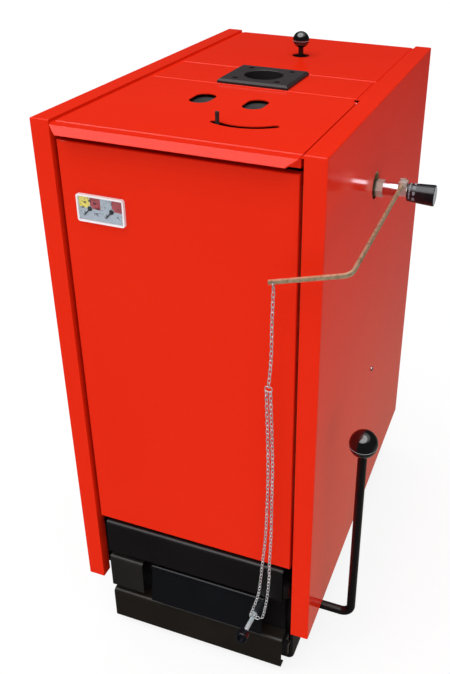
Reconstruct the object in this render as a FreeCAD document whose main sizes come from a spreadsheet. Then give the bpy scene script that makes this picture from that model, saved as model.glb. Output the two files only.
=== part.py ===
import FreeCAD, Part
import math
import os
import re
import Sketcher
from FreeCAD import Placement, Rotation, Vector

# Top-loading coal boiler. Millimetres, +Z up, the front faces -Y, the origin is on the floor
# under the middle of the casing.

SIZES = {
    # casing
    "case_width": 460,
    "case_depth": 738,
    "case_height": 936,
    "floor_gap": 120,
    "strip_width": 33,
    "strip_return": 22,
    "strip_lip": 14,
    "sheet": 1.5,
    "bend_radius": 2.5,
    "top_drop": 3,
    "seam": 2,
    # front panel
    "panel_gap": 6.5,
    "panel_setback": 4,
    "panel_door_gap": 8,
    "panel_head": 9.1,
    "panel_fold": 14,
    # lid
    "lid_gap": 5.5,
    "lid_wall": 16.2,
    "lid_crease": 11.5,
    "crease_step": 1.2,
    "crease_run": 1.8,
    "lip_shelf": 18.2,
    "lip_reach": 12.3,
    "lip_drop": 11.5,
    "lip_mitre": 16,
    "lid_tail": 8.5,
    "hinge_setback": 292,
    "hinge_drop": 5.5,
    "hinge_pin_radius": 2.2,
    "hinge_ear": 6,
    "hinge_eye": 1.4,
    "ear_inset": 17,
    "wall_tail": 20,
    "notch_width": 6,
    "notch_length": 15,
    "fit_gap": 0.05,
    "face_gap": 0.3,
    # air openings of the lid and the damper under them
    "eye_spacing": 92,
    "eye_width": 35.4,
    "eye_length": 58,
    "eye_setback": 206.5,
    "pivot_offset": 60.5,
    "pivot_setback": 167,
    "pivot_radius": 5,
    "slot_radius": 79.5,
    "slot_width": 12,
    "slot_start": -118.2,
    "slot_end": -45.6,
    "pin_angle": -112.5,
    "pin_radius": 3.2,
    "pin_height": 17,
    "damper_drop": 7,
    "damper_thick": 2,
    "damper_margin": 6,
    "shield_drop": 19,
    "shield_thick": 4,
    "shield_margin": 14,
    "pillar_radius": 6,
    # top strip, rear cover and flow flange
    "strip_depth": 121,
    "strip_gap": 11,
    "cover_gap": 8,
    "ledge_width": 20,
    "ledge_inset": 1,
    "flange_wide": 130,
    "flange_deep": 116,
    "flange_rise": 7.4,
    "flange_bore": 69,
    "bore_chamfer": 1.2,
    "flange_circle": 110,
    "flange_hole": 11,
    "flange_chamfer": 3.5,
    "neck_wall": 5,
    "return_height": 180,
    "return_reach": 22,
    # water vessel
    "side_gap": 40,
    "front_gap": 38,
    "rear_gap": 48,
    "top_gap": 51.5,
    "plate": 5,
    "base_thick": 6,
    "base_corner": 10,
    "water_gap": 40,
    "shaft_depth": 177,
    "partition_depth": 70,
    "partition_foot": 330,
    "jacket_foot": 250,
    "ceiling_drop": 50,
    "collar_rise": 24,
    "collar_wall": 8,
    "flue_radius": 72.5,
    "flue_wall": 3,
    "flue_drop": 130,
    "flue_reach": 60,
    "flue_step": 1,
    "drain_radius": 9.3,
    "drain_wall": 5,
    "drain_reach": 18,
    "drain_offset": 130,
    "drain_height": 60,
    # gauge
    "gauge_offset": 123.1,
    "gauge_drop": 131.6,
    "gauge_width": 80.6,
    "gauge_tall": 44.6,
    "gauge_corner": 4,
    "gauge_rise": 5.5,
    "window_width": 75.6,
    "window_tall": 38.8,
    "gauge_body_gap": 4,
    "dial_spacing": 37.2,
    "dial_depth": 2.8,
    "dial_thick": 1,
    "glass_depth": 0.4,
    "glass_thick": 0.6,
    "needle_depth": 1.5,
    "needle_thick": 0.5,
    "needle_length": 16,
    "needle_width": 1.8,
    "needle_hub": 3.8,
    "needle_angle": 221,
    "spindle_radius": 0.8,
    # draught regulator
    "regulator_setback": 300,
    "regulator_drop": 151,
    "regulator_hole": 24.5,
    "regulator_hole_rise": 4,
    "hex_flats": 27,
    "hex_out": 14,
    "hex_in": 3,
    "neck_radius": 12.5,
    "neck_out": 39,
    "regulator_spindle": 3.5,
    "thread_radius": 13,
    "sensor_radius": 7,
    "sensor_share": 0.8,
    "clamp_radius": 9,
    "clamp_width": 15.5,
    "clamp_head": 9,
    "clamp_screw": 4,
    "collar_radius": 8,
    "knob_start": 56,
    "knob_length": 46.5,
    "knob_small": 15.5,
    "knob_large": 18,
    "knob_edge": 1,
    "arm_flats": 6.8,
    "arm_in": 6,
    "arm_round": 14,
    "arm_offset": 11.4,
    "arm_tail": 22,
    "arm_fall": 16,
    "arm_bend": 18,
    "arm_reach": 116,
    "arm_end_fall": 28,
    "arm_end_forward": 12,
    "arm_eye_inset": 7.6,
    "arm_eye_radius": 1.6,
    # chain
    "link_wire": 1.4,
    "link_pitch": 8.2,
    "link_width": 6,
    "hook_wire": 1.3,
    "hook_drop": 9,
    "hook_corner": 1.6,
    "arm_hook_width": 13,
    "join_width": 14,
    "bolt_ring_width": 13,
    "strand_gap": 3.4,
    # ash door
    "door_half": 178.5,
    "door_foot": 17.5,
    "door_head": 273,
    "leaf_setback": 29,
    "leaf_thick": 4,
    "leaf_inset": 2.5,
    "band_sheet": 2,
    "band_fold": 8,
    "band_return": 14,
    "upper_band_tall": 74.5,
    "lower_band_tall": 71.5,
    "lower_band_setback": 1.2,
    "grip_width": 69.5,
    "grip_foot_gap": 17,
    "grip_head_gap": 15.9,
    "door_frame_width": 25,
    "seal_width": 10,
    "door_hinge_offset": 5.5,
    "door_hinge_setback": 8,
    "door_pin_radius": 4,
    "door_knuckle_wall": 3,
    "door_knuckle_tall": 22,
    "door_knuckle_rise": 42.5,
    "door_knuckle_drop": 58,
    # air flap
    "flap_left_inset": 93.5,
    "flap_right_inset": 35.5,
    "flap_head_gap": 10.5,
    "flap_foot_gap": 21,
    "flap_thick": 2.5,
    "flap_setback": 1.5,
    "flap_pin_radius": 2,
    "flap_roll": 1.6,
    "flap_open": 9.6,
    "throat_inset": 8,
    "throat_wall": 2.5,
    "throat_gap": 1.8,
    "bolt_inset": 15.7,
    "bolt_drop": 37,
    "bolt_radius": 4,
    "bolt_length": 54,
    "bolt_nut": 6.5,
    "bolt_nut_thick": 6,
    "bolt_eye": 10,
    "bolt_eye_radius": 1.5,
    "cap_radius": 11,
    "cap_length": 15,
    "cap_start": 51,
    "cap_recess": 4.5,
    # grate and its lever
    "grate_drop": 22,
    "grate_thick": 16,
    "grate_gap": 9,
    "grate_bar": 12,
    "grate_slot": 12,
    "grate_rim": 14,
    "trunnion_radius": 8,
    "bearing_thick": 8,
    "bearing_offset": 10,
    "bearing_wrap": 7,
    "lever_setback": 93.5,
    "lever_drop": 12,
    "lever_radius": 8.2,
    "lever_out": 57,
    "lever_bend": 20,
    "lever_rise": 406,
    "lever_ball": 25,
    "ball_ring": 0.7,
    "bush_wall": 4,
    "bush_length": 16,
    "crank_length": 40,
    "crank_thick": 8,
    "crank_wrap": 5,
    "crank_inset": 18,
    "link_thick": 6,
    "link_pin": 4,
    "link_clear": 0.6,
    # ash pan
    "pan_half": 118,
    "pan_tall": 75,
    "pan_depth": 250,
    "pan_setback": 66,
    "pan_wall": 2,
    "pan_grip": 14,
    # pull rod and flue damper
    "rod_inset": 74,
    "rod_radius": 5,
    "rod_hole": 17,
    "rod_ball": 16,
    "rod_ball_rise": 31,
    "guide_wall": 4,
    "guide_rise": 8,
    "flue_flap_drop": 105,
    "flue_flap_arm": 45,
    "flue_flap_angle": 35,
    "flue_flap_length": 115,
    "flue_flap_half": 122,
    "flue_flap_thick": 4,
    "flue_axle": 6,
    "flue_bar": 4,
    "eye_plate": 5,
    "eye_clear": 1,
    "eye_wrap": 6,
    "fork_thick": 4,
    "lug_thick": 6,
    "lug_wrap": 7,
    # screws
    "screw_head": 5,
    "screw_rise": 2.4,
    "screw_shank": 2,
    "screw_length": 9,
    "side_screw_setback": 383.5,
    "side_screw_height": 475.7,
}

doc = FreeCAD.newDocument("coal_boiler")
sheet = doc.addObject("Spreadsheet::Sheet", "Sizes")
for row, (alias, number) in enumerate(SIZES.items(), start=1):
    sheet.set(f"A{row}", alias)
    sheet.set(f"B{row}", str(number))
    sheet.setAlias(f"B{row}", alias)
doc.recompute()

nodes = []
AXES = "xyz"


def bind(text):
    """Name the sheet in front of every size of an expression."""
    return re.sub(r"[a-z_]+", lambda word: f"Sizes.{word[0]}" if word[0] in SIZES else word[0], text)


def value(text):
    return float(sheet.evalExpression(bind(text)))


def point(x, y, z):
    return Vector(value(x), value(y), value(z))


def node(label, thing):
    """Register a finished sub-part under the name of its file."""
    thing.Label = label
    nodes.append(thing)
    return thing


def place(thing, x="0", y="0", z="0"):
    for axis, text in zip(AXES, (x, y, z)):
        thing.setExpression(f"Placement.Base.{axis}", bind(text))
    return thing


def box(name, x, y, z):
    """A block between a low and a high face along each axis."""
    block = doc.addObject("Part::Box", name)
    for side, (low, high) in zip(("Length", "Width", "Height"), (x, y, z)):
        block.setExpression(side, bind(f"({high}) - ({low})"))
    return place(block, x[0], y[0], z[0])


TURN_TO = {
    "x": Rotation(Vector(0, 1, 0), 90),
    "y": Rotation(Vector(1, 0, 0), -90),
    "z": Rotation(),
}


def rod(name, axis, across, span, radius):
    """A round bar along an axis, through the two coordinates across it."""
    bar = doc.addObject("Part::Cylinder", name)
    bar.setExpression("Radius", bind(radius))
    bar.setExpression("Height", bind(f"({span[1]}) - ({span[0]})"))
    bar.Placement = Placement(Vector(), TURN_TO[axis])
    base = list(across)
    base.insert(AXES.index(axis), span[0])
    return place(bar, *base)


def fuse(name, *things):
    joined = doc.addObject("Part::MultiFuse", name)
    joined.Shapes = list(things)
    joined.Refine = True
    return joined


def cut(name, base, *tools):
    result = doc.addObject("Part::Cut", name)
    result.Base = base
    result.Tool = tools[0] if len(tools) == 1 else fuse(f"{name}_tools", *tools)
    return result


def group(name, *things):
    """Separate solids that share one node."""
    together = doc.addObject("Part::Compound", name)
    together.Links = list(things)
    return together


def rounded(name, base, radius, test):
    """Round the edges whose middle passes the test."""
    doc.recompute()
    result = doc.addObject("Part::Fillet", name)
    result.Base = base
    size = value(radius)
    picked = []
    for number, edge in enumerate(base.Shape.Edges, start=1):
        if test(edge):
            picked.append((number, size, size))
    result.Edges = picked
    return result


def near(number, text):
    return abs(number - value(text)) < 1e-4


def mirror_pair(sign, low, high):
    """A span along X, on the right for +1 and mirrored for -1."""
    return (low, high) if sign > 0 else (f"-({high})", f"-({low})")


def new_body(name):
    return doc.addObject("PartDesign::Body", name)


def sketch(body, name, role, offset="0"):
    drawing = body.newObject("Sketcher::SketchObject", name)
    origin_plane = next(item for item in body.Origin.OriginFeatures if item.Role == role)
    drawing.AttachmentSupport = [(origin_plane, "")]
    drawing.MapMode = "FlatFace"
    drawing.setExpression("AttachmentOffset.Base.z", bind(offset))
    return drawing


def tie(drawing, kind, element, vertex, text):
    """Hold a vertex at a distance from the sketch origin."""
    index = drawing.addConstraint(Sketcher.Constraint(kind, -1, 1, element, vertex, value(text)))
    drawing.setExpression(f"Constraints[{index}]", bind(text))


def outline(drawing, corners):
    """A closed straight-sided outline through corners given as expressions."""
    first = drawing.GeometryCount
    spots = [Vector(value(x), value(y), 0) for x, y in corners]
    count = len(spots)
    for step in range(count):
        drawing.addGeometry(Part.LineSegment(spots[step], spots[(step + 1) % count]))
    for step in range(count):
        drawing.addConstraint(
            Sketcher.Constraint("Coincident", first + step, 2, first + (step + 1) % count, 1))
    for step, (x, y) in enumerate(corners):
        tie(drawing, "DistanceX", first + step, 1, x)
        tie(drawing, "DistanceY", first + step, 1, y)
    return drawing


def ring(drawing, x, y, radius):
    """A circle in a sketch."""
    index = drawing.GeometryCount
    drawing.addGeometry(Part.Circle(Vector(value(x), value(y), 0), Vector(0, 0, 1), value(radius)))
    tie(drawing, "DistanceX", index, 3, x)
    tie(drawing, "DistanceY", index, 3, y)
    size = drawing.addConstraint(Sketcher.Constraint("Radius", index, value(radius)))
    drawing.setExpression(f"Constraints[{size}]", bind(radius))
    return drawing


def pad(body, drawing, length, both=False, back=False):
    feature = body.newObject("PartDesign::Pad", f"{drawing.Name}_pad")
    feature.Profile = drawing
    feature.SideType = "Symmetric" if both else "One side"
    feature.Reversed = back
    feature.setExpression("Length", bind(length))
    doc.recompute()
    return feature


def pocket(body, drawing, back=False):
    """Cut a sketch right through the body, and make sure that it cuts."""
    before = body.Shape.Volume
    feature = body.newObject("PartDesign::Pocket", f"{drawing.Name}_pocket")
    feature.Profile = drawing
    feature.Type = "ThroughAll"
    feature.Reversed = back
    doc.recompute()
    if body.Shape.Volume >= before - 1e-3:
        raise RuntimeError(f"{drawing.Name} cuts nothing")
    return feature


def edge_names(shape, test):
    return [f"Edge{number}" for number, edge in enumerate(shape.Edges, start=1) if test(edge)]


def soften(body, kind, test, text):
    """Fillet or chamfer the edges of a body's last feature."""
    last = body.Tip
    feature = body.newObject(f"PartDesign::{kind}", f"{body.Name}_{kind}_{len(body.Group)}")
    feature.Base = (last, edge_names(last.Shape, test))
    feature.setExpression("Radius" if kind == "Fillet" else "Size", bind(text))
    doc.recompute()
    return feature


def axis_of(body, role):
    """One of the three axes of a body."""
    return (next(item for item in body.Origin.OriginFeatures if item.Role == role), [""])


def turned(name, profile):
    """A body turned about its own X axis from a half outline."""
    body = new_body(name)
    feature = body.newObject("PartDesign::Revolution", f"{name}_turn")
    feature.Profile = outline(sketch(body, f"{name}_profile", "XZ_Plane"), profile)
    feature.ReferenceAxis = axis_of(body, "X_Axis")
    feature.Angle = 360
    body.Tip = feature
    doc.recompute()
    return body


def plain(name, shape):
    """A solid set by its own formula."""
    feature = doc.addObject("Part::Feature", name)
    feature.Shape = shape
    return feature


# main planes of the casing
half = "(case_width / 2)"
front = "(-case_depth / 2)"
rear = "(case_depth / 2)"
case_top = "(floor_gap + case_height)"
plate_top = f"({case_top} - top_drop)"
plate_low = f"({plate_top} - sheet)"
strip_inner = f"({half} - strip_width)"
ledge_end = f"({strip_inner} - ledge_width)"


def back(text):
    """A depth measured back from the front of the casing."""
    return f"({front} + {text})"


# main planes of the water vessel
vessel_half = f"({half} - side_gap)"
vessel_front = back("front_gap")
vessel_rear = f"({rear} - rear_gap)"
vessel_top = f"({plate_low} - top_gap)"
shaft_half = f"({vessel_half} - 2 * plate - water_gap)"
shaft_front = f"({vessel_front} + 2 * plate + water_gap)"
shaft_rear = f"({shaft_front} + shaft_depth)"
flue_front = f"({shaft_rear} + partition_depth)"
flue_rear = f"({vessel_rear} - 2 * plate - water_gap)"
ceiling = f"({vessel_top} - ceiling_drop)"

# places of the connections
flange_y = back("hinge_setback + lid_tail + seam + strip_depth / 2")
strip_front = back("hinge_setback + lid_tail + seam")
strip_rear = f"({strip_front} + strip_depth)"
rod_y = f"({flue_rear} - rod_inset)"
regulator_y = back("regulator_setback")
regulator_z = f"({case_top} - regulator_drop)"
flue_z = f"({vessel_top} - flue_drop)"
lever_y = back("lever_setback")
lever_z = "(floor_gap - lever_drop)"
gauge_z = f"({case_top} - gauge_drop)"
gauge_low = f"({gauge_z} - gauge_tall / 2)"


# casing


def side_panel(sign):
    """A folded side panel with front, top and rear strips, and ledges inside that the top sheets lie on."""
    tag = "right" if sign > 0 else "left"

    def across(low, high):
        return mirror_pair(sign, low, high)

    shell = box(f"{tag}_shell", across(strip_inner, half), (front, rear), ("floor_gap", case_top))
    outer_face = value(half) * sign

    def outer_fold(edge):
        middle = edge.BoundBox.Center
        on_side = abs(middle.x - outer_face) < 1e-4
        fold = near(middle.y, front) or near(middle.y, rear) or near(middle.z, case_top)
        front_top = near(middle.y, front) and near(middle.z, case_top)
        return (on_side and fold) or front_top

    folded = rounded(f"{tag}_folded", shell, "bend_radius", outer_fold)
    ledge_z = (f"{plate_low} - sheet", plate_low)
    ledges = [
        box(f"{tag}_lid_ledge", across(f"{strip_inner} - lid_gap + ledge_inset", f"{strip_inner} + sheet"),
            (f"{front} + sheet", strip_front), ledge_z),
        box(f"{tag}_strip_ledge", across(ledge_end, f"{strip_inner} + sheet"),
            (strip_front, f"{rear} - 2 * sheet"), ledge_z),
    ]
    far = "2 * case_height"
    hollow = box(f"{tag}_hollow", across(f"{strip_inner} + sheet", f"{half} - sheet"),
                 (f"{front} + sheet", f"{rear} - sheet"), ("0", f"{case_top} - sheet"))
    mouth = box(f"{tag}_mouth", across(f"{strip_inner} - sheet", f"{strip_inner} + 2 * sheet"),
                (back("strip_return"), f"{rear} - strip_return"), ("0", f"{case_top} - strip_lip"))
    tools = [hollow, mouth]
    screw = rod(f"{tag}_screw_hole", "x", (back("side_screw_setback"), "side_screw_height"),
                across("0", far), "screw_shank + face_gap")
    tools.append(screw)
    if sign > 0:
        tools.append(rod("regulator_opening", "x", (regulator_y, f"{regulator_z} + regulator_hole_rise"),
                         ("0", far), "regulator_hole"))
    return node(f"{tag}_side_panel", fuse(f"{tag}_panel", cut(f"{tag}_panel_cut", folded, *tools), *ledges))


side_panel(-1)
side_panel(1)

panel_half = f"({strip_inner} - panel_gap)"
panel_low = "(door_head + panel_door_gap)"
panel_high = f"({plate_low} - lid_wall - panel_head)"
panel_face = back("panel_setback")


def front_panel():
    """The fixed front panel: a folded pan with a cut-out for the gauge."""
    pan = box("front_pan", (f"-{panel_half}", panel_half), (panel_face, f"{panel_face} + panel_fold"),
              (panel_low, panel_high))
    softened = rounded("front_pan_folded", pan, "bend_radius",
                       lambda edge: near(edge.BoundBox.Center.y, panel_face))
    hollow = box("front_pan_hollow", (f"-{panel_half} + sheet", f"{panel_half} - sheet"),
                 (f"{panel_face} + sheet", f"{panel_face} + 2 * panel_fold"),
                 (f"{panel_low} + sheet", f"{panel_high} - sheet"))
    window = box("gauge_cutout",
                 ("-gauge_offset - gauge_width / 2 + gauge_body_gap - face_gap",
                  "-gauge_offset + gauge_width / 2 - gauge_body_gap + face_gap"),
                 (f"{panel_face} - sheet", f"{panel_face} + 2 * sheet"),
                 (f"{gauge_low} + gauge_body_gap - face_gap",
                  f"{gauge_low} + gauge_tall - gauge_body_gap + face_gap"))
    return node("front_panel", cut("front_panel_sheet", softened, hollow, window))


front_panel()



def top_sheet(label, gap, y, hole):
    """A fixed top plate with one hole; front and rear edges are folded down, the ends lie on the ledges."""
    reach = f"({strip_inner} - {gap})"
    plate = box(f"{label}_plate", (f"-{reach}", reach), y, (f"{plate_top} - strip_lip", plate_top))

    def top_fold(edge):
        middle = edge.BoundBox.Center
        return near(middle.z, plate_top) and (near(middle.y, y[0]) or near(middle.y, y[1]))

    folded = rounded(f"{label}_folded", plate, "bend_radius", top_fold)
    under = (f"{plate_top} - 2 * strip_lip", plate_low)
    hollow = box(f"{label}_hollow", (f"-{reach} - sheet", f"{reach} + sheet"),
                 (f"{y[0]} + sheet", f"{y[1]} - sheet"), under)
    reliefs = [box(f"{label}_relief_{sign + 1}", mirror_pair(sign, f"{ledge_end} - face_gap", strip_inner),
                   (f"{y[0]} - sheet", f"{y[1]} + sheet"), under) for sign in (-1, 1)]
    return node(label, cut(f"{label}_sheet", folded, hollow, *reliefs, hole))


neck_outer = "(flange_bore / 2 + neck_wall)"
top_sheet("middle_top_strip", "strip_gap", (strip_front, strip_rear),
          rod("strip_hole", "z", ("0", flange_y), ("0", "3 * case_height"), f"{neck_outer} + face_gap"))
top_sheet("rear_top_cover", "cover_gap", (f"{strip_rear} + seam", f"{rear} - 2 * sheet - face_gap"),
          rod("cover_hole", "z", ("0", rod_y), ("0", "3 * case_height"), "rod_hole"))


def rear_panel():
    sheet_plate = box("rear_sheet", (f"face_gap - {strip_inner}", f"{strip_inner} - face_gap"),
                      (f"{rear} - 2 * sheet", f"{rear} - sheet"), ("floor_gap", f"{plate_low} - seam"))
    span = ("0", f"2 * {rear}")
    flue = rod("rear_flue_hole", "y", ("0", flue_z), span, "flue_radius + seam")
    pipe = rod("rear_return_hole", "y", ("0", "return_height"), span, f"{neck_outer} + seam")
    drain = rod("rear_drain_hole", "y", ("-drain_offset", "drain_height + floor_gap"), span,
                "drain_radius + drain_wall + seam")
    return node("rear_panel", cut("rear_panel_sheet", sheet_plate, flue, pipe, drain))


rear_panel()


# lid with its grip lip, air openings and hinge eyes

lid_half = f"({strip_inner} - lid_gap)"
lid_rear = back("hinge_setback + lid_tail")
hinge_y = back("hinge_setback")
hinge_z = f"({plate_top} - hinge_drop)"
pivot_y = back("pivot_setback")
pin_x = "(pivot_offset + slot_radius * cos(pin_angle))"
pin_y = f"({pivot_y} + slot_radius * sin(pin_angle))"
shield_top = f"({plate_low} - shield_drop)"
damper_low = f"({plate_low} - damper_drop)"


def slot_point(radius_shift, angle):
    radius = value(f"slot_radius + {radius_shift}")
    turn = math.radians(value(angle))
    reach = Vector(radius * math.cos(turn), radius * math.sin(turn), 0)
    return point("pivot_offset", pivot_y, "0") + reach


def slot_prism():
    """The curved slot: two arcs about the damper's pivot, closed by round ends."""
    start, end = "slot_start", "slot_end"
    middle = "(slot_start + slot_end) / 2"
    inner, outer = "(-slot_width / 2)", "(slot_width / 2)"
    reach = "slot_width / 2 / slot_radius * 180 / pi"
    arcs = [
        Part.Arc(slot_point(outer, start), slot_point(outer, middle), slot_point(outer, end)),
        Part.Arc(slot_point(outer, end), slot_point("0", f"{end} + {reach}"), slot_point(inner, end)),
        Part.Arc(slot_point(inner, end), slot_point(inner, middle), slot_point(inner, start)),
        Part.Arc(slot_point(inner, start), slot_point("0", f"{start} - {reach}"), slot_point(outer, start)),
    ]
    face = Part.Face(Part.Wire([arc.toShape() for arc in arcs]))
    tall = value("strip_lip")
    prism = plain("slot_prism", face.extrude(Vector(0, 0, tall)))
    return place(prism, z=f"{plate_top} - strip_lip / 2")


def eye_opening(sign):
    """An upright opening with round ends."""
    x = f"{sign} * eye_spacing / 2"
    y = back("eye_setback")
    run = "((eye_length - eye_width) / 2)"
    span = (f"{plate_low} - sheet", f"{plate_top} + sheet")
    tag = f"eye_{'right' if sign > 0 else 'left'}"
    middle = box(f"{tag}_middle", (f"{x} - eye_width / 2", f"{x} + eye_width / 2"),
                 (f"{y} - {run}", f"{y} + {run}"), span)
    ends = [rod(f"{tag}_end_{step}", "z", (x, f"{y} + {step} * {run}"), span, "eye_width / 2")
            for step in (-1, 1)]
    return fuse(tag, middle, *ends)


def lid_cover():
    """Folded lid: flat top, forward shelf with a sloping lip, walls, damper stud and hinge ears."""
    body = new_body("lid_sheet")
    shelf_end = f"({back('lid_crease')} - lip_shelf)"
    lip_end = f"({shelf_end} - lip_reach)"
    lip_low = f"({plate_top} - lip_drop)"
    crease = back("lid_crease")
    shelf_top = f"({plate_top} - crease_step)"
    profile = [
        (lid_rear, plate_top), (crease, plate_top), (f"{crease} - crease_run", shelf_top),
        (shelf_end, shelf_top), (lip_end, lip_low),
        (f"{lip_end} + sheet * 0.7", f"{lip_low} - sheet * 0.7"),
        (f"{shelf_end} + sheet * 0.4", f"{shelf_top} - sheet"),
        (f"{crease} - crease_run", f"{shelf_top} - sheet"), (crease, plate_low), (lid_rear, plate_low),
    ]
    pad(body, outline(sketch(body, "lid_profile", "YZ_Plane"), profile), f"2 * {lid_half}", both=True)
    mitre = sketch(body, "lid_mitre", "XY_Plane", "2 * case_height")
    for sign in ("", "-"):
        outline(mitre, [(f"{sign}{lid_half}", shelf_end), (f"{sign}({lid_half} - lip_mitre)", lip_end),
                        (f"{sign}({lid_half} - lip_mitre)", f"{lip_end} - lip_reach"),
                        (f"{sign}({lid_half} + lip_mitre)", f"{lip_end} - lip_reach"),
                        (f"{sign}({lid_half} + lip_mitre)", shelf_end)])
    pocket(body, mitre)
    notch = sketch(body, "lid_notch", "XY_Plane", "2 * case_height")
    outline(notch, [(f"{lid_half} - notch_width", f"{lid_rear} - notch_length"),
                    (f"{lid_half} + seam", f"{lid_rear} - notch_length"),
                    (f"{lid_half} + seam", f"{lid_rear} + seam"),
                    (f"{lid_half} - notch_width", f"{lid_rear} + seam")])
    pocket(body, notch)

    wall_low = f"({plate_low} - lid_wall)"
    wall_front = panel_face
    walls = [box("lid_front_wall", (f"-{lid_half}", lid_half), (wall_front, f"{wall_front} + sheet"),
                 (wall_low, plate_low))]
    ears = []
    for sign in (-1, 1):
        tag = "right" if sign > 0 else "left"
        walls.append(box(f"lid_wall_{tag}", mirror_pair(sign, f"{lid_half} - sheet", lid_half),
                         (wall_front, f"{lid_rear} - wall_tail"), (wall_low, plate_low)))
        ear = mirror_pair(sign, f"{lid_half} - ear_inset - hinge_ear", f"{lid_half} - ear_inset")
        wrap = "(hinge_pin_radius + hinge_eye)"
        ears.append(box(f"lid_ear_{tag}", ear, (f"{hinge_y} - {wrap}", f"{hinge_y} + {wrap}"),
                        (hinge_z, plate_low)))
        ears.append(rod(f"lid_eye_{tag}", "x", (hinge_y, hinge_z), ear, wrap))
    stud = rod("damper_stud", "z", ("pivot_offset", pivot_y), (f"{damper_low} - damper_thick", plate_low),
               "pivot_radius")
    stud_head = rod("damper_stud_head", "z", ("pivot_offset", pivot_y),
                    (f"{damper_low} - 2 * damper_thick", f"{damper_low} - face_gap"), "1.6 * pivot_radius")
    joined = fuse("lid_joined", body, *walls, *ears, stud, stud_head)
    bores = [rod(f"lid_bore_{step}", "x", (hinge_y, hinge_z),
                 mirror_pair(step, f"{lid_half} - 3 * ear_inset", f"{lid_half} + seam"),
                 "hinge_pin_radius + fit_gap") for step in (-1, 1)]
    openings = [slot_prism(), eye_opening(-1), eye_opening(1)]
    return node("lid_cover", cut("lid_sheet_cut", joined, *openings, *bores))


lid_cover()


def lid_shield():
    """Heat shield plate on four pillars under the lid."""
    reach_x = f"({shaft_half} + collar_wall + shield_margin)"
    y = (f"({shaft_front} - collar_wall - shield_margin)", f"({shaft_rear} + collar_wall)")
    plate = box("shield_plate", (f"-{reach_x}", reach_x), y, (f"{shield_top} - shield_thick", shield_top))
    pillars = []
    for sign in (-1, 1):
        for number, edge in enumerate((f"{y[0]} + 2 * pillar_radius", f"{y[1]} - 2 * pillar_radius")):
            pillars.append(rod(f"shield_pillar_{number}_{'r' if sign > 0 else 'l'}", "z",
                               (f"{sign} * ({reach_x} - 2 * pillar_radius)", edge),
                               (shield_top, plate_low), "pillar_radius"))
    holes = [rod(f"shield_hole_{step}", "z", (f"{step} * eye_spacing / 2", back("eye_setback")),
                 (f"{shield_top} - 2 * shield_thick", f"{shield_top} + sheet"), "eye_width / 2")
             for step in (-1, 1)]
    return node("lid_shield", cut("shield_cut", fuse("shield_fused", plate, *pillars), *holes))


lid_shield()


def frame_strips(name, x_half, y, z, wall):
    """Four straight strips round a rectangle in plan; x_half and y are the inner faces."""
    outer = (f"{y[0]} - {wall}", f"{y[1]} + {wall}")
    return [
        box(f"{name}_left", (f"-({x_half}) - {wall}", f"-({x_half})"), outer, z),
        box(f"{name}_right", (x_half, f"({x_half}) + {wall}"), outer, z),
        box(f"{name}_front", (f"-({x_half})", x_half), (outer[0], y[0]), z),
        box(f"{name}_rear", (f"-({x_half})", x_half), (y[1], outer[1]), z),
    ]


collar_top = f"({vessel_top} + collar_rise)"
node("loading_collar", group("collar", *frame_strips(
    "collar", shaft_half, (shaft_front, shaft_rear), (vessel_top, collar_top), "collar_wall")))
node("lid_seal", fuse("lid_seal_ring", *frame_strips(
    "lid_seal", shaft_half, (shaft_front, shaft_rear), (collar_top, f"{shield_top} - shield_thick"),
    "collar_wall")))


def air_damper():
    """Turning plate under the air openings, with its upright pin."""
    z = (damper_low, f"{damper_low} + damper_thick")
    y = back("eye_setback")
    wing = box("damper_wing", ("-eye_spacing / 2 - eye_width / 2 - damper_margin",
                               "pivot_offset + 2.5 * pivot_radius"),
               (f"{pivot_y} - 2.5 * pivot_radius", f"{y} + eye_length / 2 + damper_margin"), z)
    tongue = doc.addObject("Part::Box", "damper_tongue")
    tongue.setExpression("Length", bind("slot_radius + 2.5 * pin_radius"))
    tongue.setExpression("Width", bind("5 * pin_radius"))
    tongue.setExpression("Height", bind("damper_thick"))
    tongue.Placement = Placement(Vector(), Rotation(Vector(0, 0, 1), value("pin_angle")))
    place(tongue, "pivot_offset + 2.5 * pin_radius * sin(pin_angle)",
          f"{pivot_y} - 2.5 * pin_radius * cos(pin_angle)", z[0])
    pin = rod("damper_pin", "z", (pin_x, pin_y), (z[0], f"{plate_top} + pin_height"), "pin_radius")
    bore = rod("damper_bore", "z", ("pivot_offset", pivot_y), (f"{z[0]} - sheet", f"{z[1]} + sheet"),
               "pivot_radius + fit_gap")
    return node("air_damper", cut("damper_cut", fuse("damper_fused", wing, tongue, pin), bore))


air_damper()


# water vessel

plate_run = (vessel_front, vessel_rear)
base = box("base_block", (f"-{vessel_half}", vessel_half), plate_run, ("0", "base_thick"))
node("base_plate", rounded("base_rounded", base, "base_corner",
                           lambda edge: near(edge.Length, "base_thick")))

outer_sides = []
for side in (-1, 1):
    wall = box(f"outer_side_{side + 1}", mirror_pair(side, f"{vessel_half} - plate", vessel_half),
               plate_run, ("base_thick", vessel_top))
    if side > 0:
        wall = cut("outer_side_drilled", wall,
                   rod("sensor_hole", "x", (regulator_y, regulator_z),
                       ("0", f"2 * {half}"), "thread_radius"),
                   rod("bush_hole", "x", (lever_y, lever_z), ("0", f"2 * {half}"),
                       "lever_radius + bush_wall"))
    outer_sides.append(wall)
node("outer_side_plates", group("outer_sides", *outer_sides))

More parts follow.
